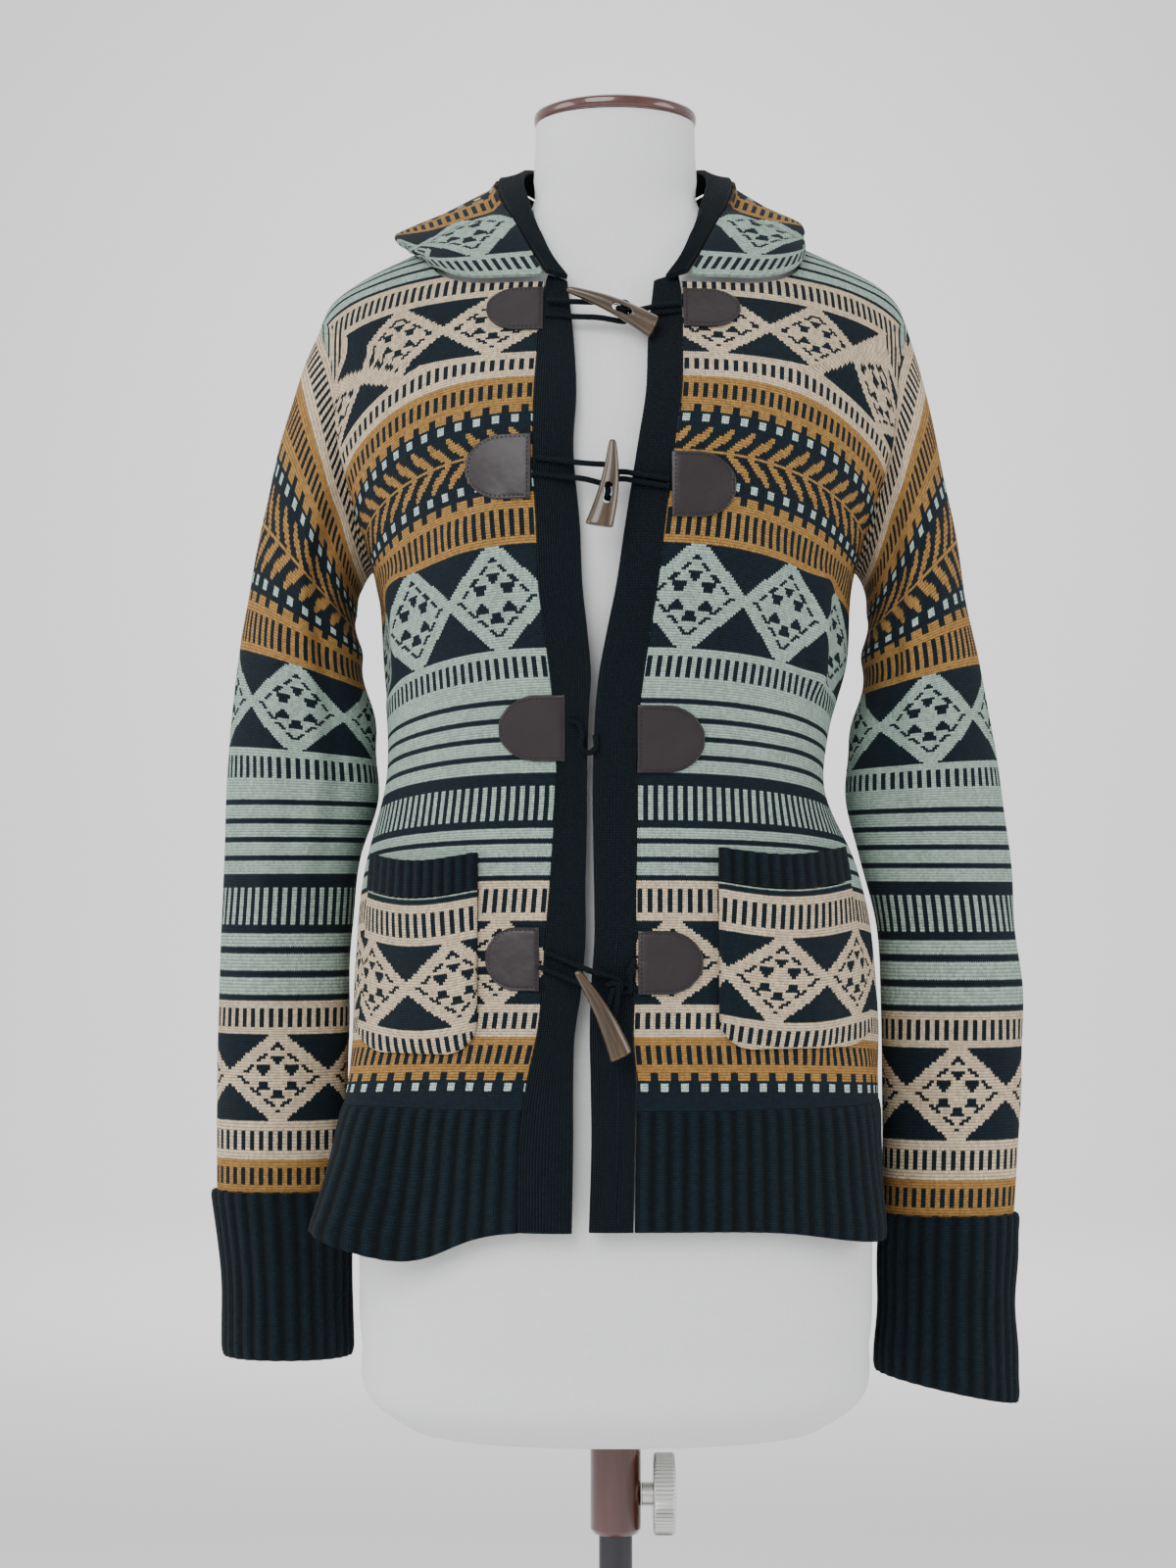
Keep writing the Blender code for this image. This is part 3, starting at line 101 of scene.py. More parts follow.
# Outer surface of the cardigan's body. Columns: z, left, right, front, back, power, which are
# the height, the two half widths, the two depths and the roundness.
BODY = np.array([
    (0.800, 0.1648, 0.1648, 0.1260, 0.1300, 2.40),
    (0.905, 0.1648, 0.1648, 0.1260, 0.1300, 2.40),
    (0.990, 0.1640, 0.1630, 0.1230, 0.1260, 2.35),
    (1.050, 0.1580, 0.1520, 0.1180, 0.1170, 2.30),
    (1.100, 0.1455, 0.1320, 0.1140, 0.1060, 2.20),
    (1.135, 0.1440, 0.1350, 0.1190, 0.1020, 2.20),
    (1.175, 0.1470, 0.1460, 0.1260, 0.1020, 2.20),
    (1.235, 0.1535, 0.1515, 0.1380, 0.1060, 2.20),
    (1.270, 0.1680, 0.1660, 0.1390, 0.1080, 2.15),
    (1.310, 0.1840, 0.1830, 0.1330, 0.1100, 2.10),
    (1.360, 0.1890, 0.1880, 0.1120, 0.1070, 2.10),
    (1.394, 0.1870, 0.1850, 0.0920, 0.0970, 2.10),
    (1.407, 0.1800, 0.1790, 0.0840, 0.0920, 2.10),
    (1.420, 0.1640, 0.1640, 0.0760, 0.0860, 2.05),
    (1.434, 0.1370, 0.1370, 0.0690, 0.0790, 2.00),
    (1.447, 0.1085, 0.1085, 0.0610, 0.0710, 2.00),
    (1.458, 0.0830, 0.0830, 0.0540, 0.0640, 2.00),
    (1.466, 0.0690, 0.0690, 0.0490, 0.0600, 2.00),
])

# Dress form under the cloth, in the same columns.
FORM = np.array([
    (0.7000, 0.1300, 0.1300, 0.0860, 0.0940, 2.25),
    (0.7100, 0.1460, 0.1460, 0.0985, 0.1065, 2.25),
    (0.7550, 0.1595, 0.1595, 0.1095, 0.1180, 2.30),
    (0.8000, 0.1612, 0.1612, 0.1120, 0.1200, 2.30),
    (0.9300, 0.1575, 0.1575, 0.1115, 0.1170, 2.30),
    (0.9900, 0.1500, 0.1500, 0.1070, 0.1100, 2.25),
    (1.0500, 0.1360, 0.1360, 0.1010, 0.0990, 2.20),
    (1.1000, 0.1230, 0.1230, 0.0980, 0.0910, 2.15),
    (1.1400, 0.1240, 0.1240, 0.1020, 0.0890, 2.15),
    (1.2350, 0.1410, 0.1410, 0.1280, 0.0980, 2.15),
    (1.2700, 0.1480, 0.1480, 0.1300, 0.1000, 2.15),
    (1.3100, 0.1580, 0.1580, 0.1230, 0.1020, 2.10),
    (1.3600, 0.1660, 0.1660, 0.1030, 0.0980, 2.10),
    (1.3900, 0.1680, 0.1680, 0.0860, 0.0890, 2.10),
    (1.4070, 0.1640, 0.1640, 0.0760, 0.0830, 2.10),
    (1.4200, 0.1530, 0.1530, 0.0680, 0.0760, 2.05),
    (1.4340, 0.1270, 0.1270, 0.0580, 0.0690, 2.00),
    (1.4470, 0.0960, 0.0960, 0.0510, 0.0610, 2.00),
    (1.4580, 0.0660, 0.0660, 0.0480, 0.0540, 2.00),
    (1.4680, 0.0545, 0.0545, 0.0470, 0.0515, 2.00),
    (1.4900, 0.0520, 0.0520, 0.0470, 0.0505, 2.00),
    (1.5230, 0.0505, 0.0505, 0.0470, 0.0500, 2.00),
])

# Edges of the two front bands, as places across the front.
BAND_COLUMNS = ("z", "left_outer", "left_inner", "right_inner", "right_outer")
BANDS = np.array([
    (0.834, -0.0588, -0.0270, -0.0170, 0.0097),
    (0.890, -0.0578, -0.0262, -0.0155, 0.0105),
    (0.925, -0.0530, -0.0262, -0.0160, 0.0112),
    (0.948, -0.0480, -0.0255, -0.0165, 0.0095),
    (0.976, -0.0446, -0.0215, -0.0158, 0.0104),
    (1.005, -0.0429, -0.0190, -0.0138, 0.0110),
    (1.040, -0.0400, -0.0190, -0.0140, 0.0112),
    (1.063, -0.0385, -0.0184, -0.0144, 0.0117),
    (1.098, -0.0362, -0.0182, -0.0148, 0.0118),
    (1.121, -0.0368, -0.0178, -0.0142, 0.0122),
    (1.145, -0.0382, -0.0168, -0.0130, 0.0136),
    (1.162, -0.0400, -0.0158, -0.0112, 0.0157),
    (1.185, -0.0429, -0.0176, -0.0070, 0.0191),
    (1.213, -0.0466, -0.0207, -0.0012, 0.0236),
    (1.247, -0.0479, -0.0222, 0.0039, 0.0276),
    (1.300, -0.0502, -0.0262, 0.0121, 0.0341),
    (1.331, -0.0496, -0.0245, 0.0169, 0.0385),
    (1.369, -0.0472, -0.0262, 0.0188, 0.0397),
    (1.406, -0.0436, -0.0299, 0.0226, 0.0393),
])

# Sleeve sections below the armhole: outer and inner edge, depth of the middle, half depth.
# Columns: x_out, z_out, x_in, z_in, y_mid, half_depth.
LEFT_SLEEVE = np.array([
    (0.1985, 1.3660, 0.1600, 1.2300, 0.002, 0.0540),
    (0.2085, 1.3360, 0.1635, 1.2220, 0.005, 0.0560),
    (0.2170, 1.3050, 0.1655, 1.2120, 0.008, 0.0560),
    (0.2250, 1.2700, 0.1650, 1.2000, 0.010, 0.0550),
    (0.2330, 1.2290, 0.1625, 1.1850, 0.012, 0.0530),
    (0.2400, 1.1890, 0.1585, 1.1620, 0.014, 0.0490),
    (0.2455, 1.1440, 0.1535, 1.1310, 0.016, 0.0450),
    (0.2488, 1.1010, 0.1515, 1.0980, 0.018, 0.0410),
    (0.2505, 1.0580, 0.1625, 1.0580, 0.022, 0.0360),
    (0.2525, 1.0150, 0.1685, 1.0150, 0.024, 0.0320),
    (0.2540, 0.9650, 0.1705, 0.9650, 0.024, 0.0300),
    (0.2550, 0.9050, 0.1710, 0.9050, 0.024, 0.0290),
    (0.2548, 0.8440, 0.1715, 0.8440, 0.024, 0.0280),
])
RIGHT_SLEEVE = np.array([
    (0.1945, 1.3620, 0.1575, 1.2300, 0.002, 0.0540),
    (0.2025, 1.3300, 0.1600, 1.2220, 0.005, 0.0560),
    (0.2095, 1.2980, 0.1615, 1.2120, 0.008, 0.0560),
    (0.2170, 1.2620, 0.1610, 1.2000, 0.010, 0.0550),
    (0.2245, 1.2170, 0.1590, 1.1830, 0.012, 0.0530),
    (0.2330, 1.1770, 0.1560, 1.1580, 0.014, 0.0490),
    (0.2405, 1.1400, 0.1500, 1.1290, 0.016, 0.0450),
    (0.2475, 1.1010, 0.1470, 1.0970, 0.018, 0.0410),
    (0.2535, 1.0580, 0.1560, 1.0580, 0.022, 0.0360),
    (0.2570, 1.0120, 0.1680, 1.0120, 0.024, 0.0320),
    (0.2615, 0.9630, 0.1705, 0.9630, 0.024, 0.0300),
    (0.2590, 0.8900, 0.1712, 0.8900, 0.024, 0.0290),
    (0.2550, 0.8290, 0.1712, 0.8290, 0.024, 0.0280),
])
LEFT_CUFF = np.array([
    (0.2575, 0.8437, 0.1690, 0.8437, 0.024, 0.0310),
    (0.2510, 0.7930, 0.1695, 0.7930, 0.024, 0.0310),
    (0.2500, 0.7390, 0.1680, 0.7390, 0.024, 0.0310),
])
RIGHT_CUFF = np.array([
    (0.2575, 0.8287, 0.1690, 0.8287, 0.024, 0.0310),
    (0.2550, 0.7700, 0.1685, 0.7790, 0.024, 0.0310),
    (0.2570, 0.7090, 0.1660, 0.7290, 0.024, 0.0310),
])

# Half of the hood, for the right side: the edge that the band is sewn to, the inner edge
# of that band, and the centre seam from the neck round the pouch to the crown.
HOOD_EDGE = np.array([
    (0.0445, -0.0880, 1.4110),
    (0.0610, -0.0550, 1.4440),
    (0.0745, -0.0120, 1.4760),
    (0.0755, 0.0300, 1.4950),
    (0.0640, 0.0720, 1.4985),
    (0.0360, 0.1080, 1.4920),
    (0.0003, 0.1220, 1.4860),
])
HOOD_BAND_INNER = np.array([
    (0.0300, -0.0880, 1.4065),
    (0.0415, -0.0680, 1.4270),
    (0.0545, -0.0200, 1.4690),
    (0.0590, 0.0160, 1.4930),
    (0.0540, 0.0540, 1.5070),
    (0.0310, 0.0900, 1.5110),
    (0.0003, 0.1010, 1.5110),
])
HOOD_UNDER = np.array([
    (0.0003, 0.0640, 1.4665),
    (0.0003, 0.0860, 1.4440),
    (0.0003, 0.1040, 1.4090),
    (0.0003, 0.1160, 1.3600),
    (0.0003, 0.1185, 1.3100),
    (0.0003, 0.1240, 1.2750),
    (0.0003, 0.1380, 1.2620),
])
HOOD_CROWN = np.array([
    (0.0003, 0.1220, 1.4860),
    (0.0003, 0.1420, 1.4650),
    (0.0003, 0.1560, 1.4250),
    (0.0003, 0.1620, 1.3700),
    (0.0003, 0.1590, 1.3150),
    (0.0003, 0.1520, 1.2790),
    (0.0003, 0.1380, 1.2620),
])

# Leather patches: straight edge, round end, bottom and top, in places on the fronts.
PATCHES = {
    "row1_left": (-0.0445, -0.0790, 1.3720, 1.4010),
    "row1_right": (0.0402, 0.0750, 1.3740, 1.4000),
    "row2_left": (-0.0512, -0.0900, 1.2660, 1.3050),
    "row2_right": (0.0320, 0.0700, 1.2550, 1.2940),
    "row3_left": (-0.0310, -0.0705, 1.1120, 1.1510),
    "row3_right": (0.0120, 0.0520, 1.1050, 1.1450),
    "row4_left": (-0.0462, -0.0780, 0.9755, 1.0130),
    "row4_right": (0.0122, 0.0507, 0.9735, 1.0110),
}

# Toggles: tip, butt, half width at the butt, and the place where the cords hook, which is
# at the slot in row 1. The slot of row 4 opens at the back only.
TOGGLES = {
    "row1": ((-0.0299, 1.3950), (0.0226, 1.3715), 0.0072, None),
    "row2": ((-0.0030, 1.2975), (-0.0112, 1.2468), 0.0082, (-0.0062, 1.2785)),
    "row4": ((-0.0240, 0.9880), (0.0022, 0.9375), 0.0070, (-0.0040, 0.9780)),
}
BLIND_SLOT = "row4"
TOGGLE_DEPTH = 0.0046
TOGGLE_CLEAR = 0.0006
TOGGLE_SIDES = 48
TOGGLE_TIP = 0.0018
TOGGLE_BEND = 0.0022
SLOT_HALF_LENGTH = 0.0064
SLOT_HALF_WIDTH = 0.0024
SLOT_PLACE = 0.61
SLOT_CUT = 0.02
SLOT_SIDES = 40
CORD_SIDES = 16
LOOP_SPREAD = 0.0058
LEG_SPREAD = 0.0021
LEG_SIDESTEP = 0.0039
CORD_LAYER = 0.0039
CORD_CLEAR = 0.0016
LEFT_CORD_CLEAR = 0.0011
CORD_START = 0.0019

# Loose loop of the third row: places across and heights, from the left patch into the opening.
LOOSE_LOOP = ((-0.0290, 1.1360), (-0.0232, 1.1340), (-0.0208, 1.1275), (-0.0215, 1.1205),
              (-0.0170, 1.1165), (-0.0128, 1.1200), (-0.0132, 1.1270))

# Pockets: edge nearer the opening, side edge at the bottom and top, bottom, rib seam, top.
POCKETS = {
    "left": (-0.0825, -0.1575, -0.1480, 0.9375, 1.0350, 1.0570),
    "right": (0.0598, 0.1560, 0.1380, 0.9410, 1.0400, 1.0600),
}
POCKET_MOUTH = 0.0085
POCKET_SEAM = 0.0009
POCKET_CORNER = 0.020
POCKET_SAG = 0.006
POCKET_CLEAR = 0.0015

# Knit gauge: one stitch across and one row up, and the grids' steps.
STITCH = 0.0015
ROW = 0.0016
LOW_ROWS = 80
ARM_ROWS = 44
YOKE_ROWS = 22
FRONT_COLUMNS = 96
BACK_COLUMNS = 130
SLEEVE_COLUMNS_ROUND = 96
RIB_STEPS = 6
BAND_RIBS = 17
HOOD_RIBS = 12
CUFF_RIBS = 28
POCKET_RIBS = 12
PATCH_STRAIGHT = 0.42
BAND_CROWN = 0.0008
BAND_TOP_RISE = 0.0045
BAND_TOP_FROM = 1.376
BAND_TOP_SPAN = 0.030
HOOD_FIRST_ROW = 159.0
HOOD_LENGTH = 0.30
POCKET_TOP_ROW = 88.0
DIAMOND_START = {"left": 3.4, "right": 7.7}
POCKET_START = {"left": 10.0, "right": -6.0}
SIDES = (("left", -1.0), ("right", 1.0))
HOOD_HALVES = (("left", -1.0, 0.038, -0.016), ("right", 1.0, 0.008, -0.006))
HEMS = {
    "hem_left": ("left_outer", -1.0, 20),
    "hem_right": ("right_outer", 1.0, 24),
    "hem_back": (None, 1.0, 52),
}
# Photo's camera: height of the picture and distance of its plane in pixels, rise of the gaze.
PHOTO_HEIGHT = 1600.0
PHOTO_FOCUS = 2894.0
PHOTO_RISE = 100.0
PHOTO_PLACE = (-0.0174, -1.8, 1.04)
BODY_OF = {"clamp_knob": "knob", "pole": "stand", "base": "stand"}

# Turned pieces: profile of radius and height, finish, corner size, sides, centre, axis, flutes.
TURNED = {
    "neck_cap": ([(0.0100, CAP_BOTTOM), (CAP_RADIUS - 0.0012, CAP_BOTTOM), (CAP_RADIUS, CAP_BOTTOM + 0.0020),
                  (CAP_RADIUS, CAP_BOTTOM + 0.0060), (CAP_RADIUS - 0.003, CAP_TOP - 0.001), (0.030, CAP_TOP),
                  (0.0100, CAP_TOP)], "wood", 0.002, 128, (0.0, 0.0015, 0.0)),
    "pole_collar": ([(COLLAR_BORE, FORM_BOTTOM - SEAM_GAP), (COLLAR_BORE, COLLAR_BOTTOM),
                     (COLLAR_RADIUS - 0.0018, COLLAR_BOTTOM), (COLLAR_RADIUS, COLLAR_BOTTOM + 0.003),
                     (COLLAR_RADIUS, FORM_BOTTOM - 0.006), (COLLAR_RADIUS + 0.0015, FORM_BOTTOM - SEAM_GAP)],
                    "wood", 0.0008),
    "clamp_knob": ([(0.0030, 0.0164), (0.0075, 0.0164), (0.0075, 0.0236), (KNOB_RADIUS - 0.0012, 0.0236),
                    (KNOB_RADIUS, 0.0250), (KNOB_RADIUS, 0.0358), (KNOB_RADIUS - 0.0012, 0.0372),
                    (0.0030, 0.0372)], "steel", 0.0006, 240, (0.0, 0.0, KNOB_Z), "X", (60, 0.0006)),
    "pole": ([(0.0030, HUB_TOP + SEAM_GAP), (POLE_RADIUS, HUB_TOP + SEAM_GAP),
              (POLE_RADIUS, POLE_TOP - 0.002), (POLE_RADIUS - 0.002, POLE_TOP), (0.0030, POLE_TOP)],
             "dark_metal"),
    "base": ([(0.0100, 0.0), (BASE_RADIUS - 0.002, 0.0), (BASE_RADIUS, 0.002),
              (BASE_RADIUS, BASE_THICK - 0.003), (BASE_RADIUS - 0.003, BASE_THICK),
              (HUB_RADIUS + 0.004, BASE_THICK + 0.003),
              (HUB_RADIUS, BASE_THICK + 0.008), (HUB_RADIUS - 0.003, HUB_TOP - 0.002),
              (HUB_RADIUS - 0.005, HUB_TOP), (0.0100, HUB_TOP)], "dark_metal", 0.0015, 160),
}

# Lamps: name, place, size, depth that it aims at, and the setting that holds its power.
LAMPS = (
    ("main_light", (-1.1, -2.6, 2.7), 2.2, 0.0, "key"),
    ("left_light", (-2.4, -0.6, 1.6), 1.6, 0.0, "fill"),
    ("right_light", (2.4, -0.8, 1.5), 1.6, 0.0, "fill"),
    ("back_light", (0.0, 1.0, 3.2), 2.6, 0.0, "fill"),
    ("paper_light", (0.0, 4.6, 3.4), 3.0, 9.0, "paper"),
)
AIM_HEIGHT = 1.1
BACKDROP_EDGE = 9.0
BACKDROP_BEND = 2.0
BACKDROP_TOP = 7.0
BACKDROP_THICK = 0.004

# Bands of the knitted pattern from the hem seam up: first row, rows, motif, ground, figure.
SOLID, TICKS, STRIPES, DIAMONDS, MERLONS, SQUARES, LEAVES, BARS = range(8)
DARK, SAGE, CREAM, OCHRE, PALE = range(5)
CHART = (
    (-60, 67, SOLID, DARK, DARK),
    (7, 3, SQUARES, DARK, PALE),
    (10, 1, SOLID, DARK, DARK),
    (11, 3, MERLONS, DARK, OCHRE),
    (14, 13, TICKS, DARK, OCHRE),
    (27, 12, TICKS, DARK, CREAM),
    (39, 31, DIAMONDS, DARK, CREAM),
    (70, 15, TICKS, DARK, CREAM),
    (85, 20, STRIPES, DARK, SAGE),
    (105, 19, BARS, DARK, SAGE),
    (124, 35, STRIPES, DARK, SAGE),
    (159, 14, TICKS, DARK, SAGE),
    (173, 39, DIAMONDS, DARK, SAGE),
    (212, 16, TICKS, DARK, OCHRE),
    (228, 3, MERLONS, DARK, OCHRE),
    (231, 2, SOLID, DARK, DARK),
    (233, 3, SQUARES, DARK, PALE),
    (236, 1, SOLID, DARK, DARK),
    (237, 19, LEAVES, DARK, OCHRE),
    (256, 2, SOLID, DARK, DARK),
    (258, 3, SQUARES, DARK, PALE),
    (261, 1, SOLID, DARK, DARK),
    (262, 3, MERLONS, DARK, OCHRE),
    (265, 12, TICKS, DARK, OCHRE),
    (277, 11, TICKS, DARK, CREAM),
    (288, 28, DIAMONDS, DARK, CREAM),
    (316, 14, TICKS, DARK, CREAM),
    (330, 90, STRIPES, DARK, SAGE),
)
# Small dark hearts inside a diamond: stitches and rows from its middle.
HEARTS = ((0.0, 7.8), (6.0, 3.3), (-6.0, 3.3), (6.0, -3.6), (-6.0, -3.6), (0.0, -7.4))
DIAMOND_PERIOD = 44.0
DIAMOND_ROWS = 39.0

# Chart rows by height at the opening, and how far a row falls towards the side.
ROW_HEIGHTS = (0.8000, 0.9050, 0.9269, 0.9483, 0.9645, 1.0138, 1.0429, 1.0723, 1.1019, 1.1573, 1.1803,
               1.2406, 1.2695, 1.3097, 1.3201, 1.3376, 1.3504, 1.3814, 1.4067, 1.4254, 1.4700)
ROW_NUMBERS = (-65.6, 0.0, 13.7, 27.1, 37.2, 68.1, 86.5, 105.3, 124.1, 159.4, 174.2,
               212.6, 230.7, 256.0, 262.7, 274.3, 283.0, 304.7, 323.1, 337.5, 371.0)
FALL_HEIGHTS = (0.900, 1.060, 1.120, 1.180, 1.260, 1.340, 1.400, 1.470)
FALLS = (0.010, 0.012, 0.018, 0.040, 0.046, 0.056, 0.042, 0.034)
# Rows counted up each sleeve from its cuff seam, at the sections and at the chart's bands.
SLEEVE_SECTIONS = {
    "left": (285.6, 273.0, 259.8, 244.9, 227.3, 207.6, 183.9, 160.1, 133.9, 106.9, 75.6, 38.1, 0.0),
    "right": (293.8, 280.9, 267.5, 252.4, 232.9, 212.5, 191.9, 169.7, 143.6, 114.5, 83.8, 38.1, 0.0),
}
SLEEVE_ROWS = {
    "left": (0, 12.5, 28, 62.5, 75, 102, 123.5, 160, 174, 207, 226, 231, 256, 261.5, 283, 303, 337),
    "right": (0, 14, 29.7, 66.5, 80, 108.7, 130, 167, 179, 213, 232, 237, 262, 267, 289, 309, 343),
}
SLEEVE_CHART = (14, 27, 39, 70, 85, 105, 124, 159, 173, 212, 231, 236, 256, 261, 277, 288, 316)

# Soft folds: from a place to another in x and z, half width and height, outwards if positive.
FRONT_FOLDS = (
    (0.125, 1.235, 0.122, 1.150, 0.0065, 0.0045),
    (0.138, 1.230, 0.134, 1.150, 0.0060, -0.0030),
    (-0.136, 1.235, -0.130, 1.160, 0.0070, 0.0035),
    (-0.148, 1.225, -0.144, 1.150, 0.0060, -0.0025),
    (0.118, 0.925, 0.112, 0.990, 0.0120, 0.0030),
    (-0.070, 0.850, -0.066, 0.935, 0.0130, 0.0030),
    (-0.060, 1.262, -0.110, 1.240, 0.0110, 0.0020),
    (0.052, 1.255, 0.110, 1.222, 0.0110, 0.0020),
)
BACK_FOLDS = (
    (0.060, 1.120, 0.030, 0.960, 0.0150, 0.0040),
    (-0.060, 1.120, -0.036, 0.950, 0.0150, 0.0040),
    (0.110, 1.235, 0.070, 1.150, 0.0120, 0.0030),
    (-0.110, 1.235, -0.070, 1.150, 0.0120, 0.0030),
    (0.128, 1.150, 0.110, 1.060, 0.0100, -0.0025),
    (-0.128, 1.150, -0.110, 1.060, 0.0100, -0.0025),
)


def table_at(table, z):
    """Smooth values of a table's columns at heights z: a cubic through its rows."""
    z = np.clip(np.asarray(z, float), table[0, 0], table[-1, 0])
    heights = table[:, 0]
    values = table[:, 1:]
    steps = np.diff(heights)[:, None]
    rates = np.diff(values, axis=0) / steps
    slopes = np.zeros_like(values)
    slopes[1:-1] = (rates[:-1] * steps[1:] + rates[1:] * steps[:-1]) / (steps[1:] + steps[:-1])
    slopes[0] = rates[0]
    slopes[-1] = rates[-1]
    row = np.clip(np.searchsorted(heights, z, side="right") - 1, 0, len(heights) - 2)
    width = (heights[row + 1] - heights[row])[..., None]
    t = (z - heights[row])[..., None] / width
    start = values[row] * (1 + 2 * t) * (1 - t) ** 2 + slopes[row] * width * t * (1 - t) ** 2
    end = values[row + 1] * t * t * (3 - 2 * t) + slopes[row + 1] * width * t * t * (t - 1)
    return start + end


def section_point(table, theta, z):
    """Point at angle theta of the section at height z; theta 0 is the front, +90 is right."""
    left, right, front, back, power = np.moveaxis(table_at(table, z), -1, 0)
    across = np.where(np.sin(theta) < 0, left, right)
    deep = np.where(np.cos(theta) > 0, front, back)
    x = across * np.sign(np.sin(theta)) * np.abs(np.sin(theta)) ** (2 / power)
    y = -deep * np.sign(np.cos(theta)) * np.abs(np.cos(theta)) ** (2 / power)
    return np.stack([x, y, np.broadcast_to(z, x.shape)], axis=-1)


def section_normal(table, theta, z):
    """Outward normal of the sections' surface, tilted by how the sections change with height."""
    left, right, front, back, power = np.moveaxis(table_at(table, z), -1, 0)
    across = np.where(np.sin(theta) < 0, left, right)
    deep = np.where(np.cos(theta) > 0, front, back)
    reach = 2 - 2 / power
    nx = np.sign(np.sin(theta)) * np.abs(np.sin(theta)) ** reach / across
    ny = -np.sign(np.cos(theta)) * np.abs(np.cos(theta)) ** reach / deep
    step = 0.001
    rise = (section_point(table, theta, z + step) - section_point(table, theta, z - step)) / (2 * step)
    nz = -(nx * rise[..., 0] + ny * rise[..., 1])
    normal = np.stack([nx, ny, nz], axis=-1)
    return normal / np.linalg.norm(normal, axis=-1, keepdims=True)


def bump(value, centre, width):
    """Soft hill of height 1."""
    return np.exp(-((value - centre) / width) ** 2)


def body_point(theta, z):
    """Outer surface of the cardigan's body, with its hem flares and its largest soft folds."""
    point = section_point(BODY, theta, z)
    normal = section_normal(BODY, theta, z)
    low = np.clip((1.0 - z) / 0.17, 0.0, 1.0) ** 1.6
    degrees = np.degrees(theta)
    flare = low * (0.040 * bump(degrees, -62.0, 14.0) + 0.014 * bump(degrees, 60.0, 14.0))
    flare = flare + low * (0.006 * bump(degrees, -150.0, 14.0) + 0.005 * bump(degrees, 140.0, 16.0))
    waist = bump(z, 1.10, 0.05)
    flare = flare + waist * (0.004 * bump(degrees, -120.0, 12.0) + 0.004 * bump(degrees, 128.0, 12.0))
    flat = normal * np.array([1.0, 1.0, 0.0])
    return point + flat * flare[..., None], normal


def angle_at_x(x, z):
    """Angle on the front where the section at height z has the given place across."""
    left, right, _, _, power = np.moveaxis(table_at(BODY, z), -1, 0)
    across = np.where(x < 0, left, right)
    return np.sign(x) * np.arcsin((np.abs(x) / across) ** (power / 2))


def angle_at_y(y, z):
    """Angle between 0 and 180 degrees where the section at height z has the given depth."""
    _, _, front, back, power = np.moveaxis(table_at(BODY, z), -1, 0)
    deep = np.where(y < 0, front, back)
    cosine = np.clip((np.abs(y) / deep) ** (power / 2), 0.0, 1.0)
    return np.arccos(-np.sign(y) * cosine)


def neck_height(theta):
    """Height of the neck seam round the body."""
    degrees = np.abs(np.degrees(theta))
    rise = np.clip((degrees - 24.0) / 58.0, 0.0, 1.0)
    rise = rise * rise * (3 - 2 * rise)
    back = np.clip((degrees - 90.0) / 90.0, 0.0, 1.0)
    return NECK_FRONT_Z + (NECK_SIDE_Z - NECK_FRONT_Z) * rise + 0.004 * back


def curve_points(rows, shares):
    """Points on a smooth curve through the given rows, at shares 0 to 1 of its rows."""
    table = np.concatenate([np.linspace(0.0, 1.0, len(rows))[:, None], rows], axis=1)
    return table_at(table, shares)


def clear_of(table, points, margin):
    """Move points out along the sections' normal until they are the margin away from them."""
    points = points.copy()
    for _ in range(6):
        x, y, z = np.moveaxis(points, -1, 0)
        left, right, front, back, power = np.moveaxis(table_at(table, z), -1, 0)
        across = np.where(x < 0, left, right)
        deep = np.where(y < 0, front, back)
        along_x = (np.abs(x) / across) ** (power / 2)
        along_y = (np.abs(y) / deep) ** (power / 2)
        size = (along_x ** 2 + along_y ** 2) ** (1 / power)
        theta = np.arctan2(np.sign(x) * along_x, -np.sign(y) * along_y)
        normal = section_normal(table, theta, z)
        level = np.hypot(normal[..., 0], normal[..., 1])
        away = np.hypot(x, y) * (1 - 1 / np.maximum(size, 0.2)) * level
        push = np.clip(margin - away, 0.0, None) * (z < table[-1, 0])
        points = points + normal * push[..., None]
    return points


def hood_grid(spread, droop):
    """One half of the hood: a patch between its four edges, blown out to the side.

    s runs from the band to the centre seam, t from the neck seam to the crown.
    """
    s = np.linspace(0.0, 1.0, HOOD_STEPS)[None, :, None]
    t = np.linspace(0.0, 1.0, HOOD_STEPS)[:, None, None]
    corner_angle = placket_angle("right_outer", np.array(NECK_FRONT_Z))
    theta = np.linspace(corner_angle, math.pi - 0.006, HOOD_STEPS)
    seam, _ = body_point(theta, neck_height(theta))
    seam = seam + np.array([0.0, 0.0, HOOD_SEAM_RISE])
    seam[0] = HOOD_EDGE[0]
    seam[-1] = HOOD_UNDER[0]
    edge = curve_points(HOOD_EDGE, t[:, 0, 0])
    under = curve_points(HOOD_UNDER, t[:, 0, 0])
    crown = curve_points(HOOD_CROWN, s[0, :, 0])
    low = seam[None, :, :]
    high = crown[None, :, :]
    near = edge[:, None, :]
    far = under[:, None, :]
    corners = (1 - s) * (1 - t) * seam[0] + s * (1 - t) * seam[-1]
    corners = corners + (1 - s) * t * crown[0] + s * t * crown[-1]
    patch = (1 - t) * low + t * high + (1 - s) * near + s * far - corners
    side = np.sin(math.pi * t ** 0.85) * np.sin(math.pi * s ** 0.8)
    bag = (s * t) ** 2.4 * np.sqrt((1 - s) * (1 - t))
    patch = patch + side * np.array([spread, 0.0, droop]) + bag * np.array([0.85, -0.10, -0.05])
    moved = clear_of(BODY, patch, HOOD_CLEAR)
    moved[..., 0] = np.maximum(moved[..., 0], SEAM_GAP)
    moved[:, -1] = under
    moved[-1] = crown
    return moved


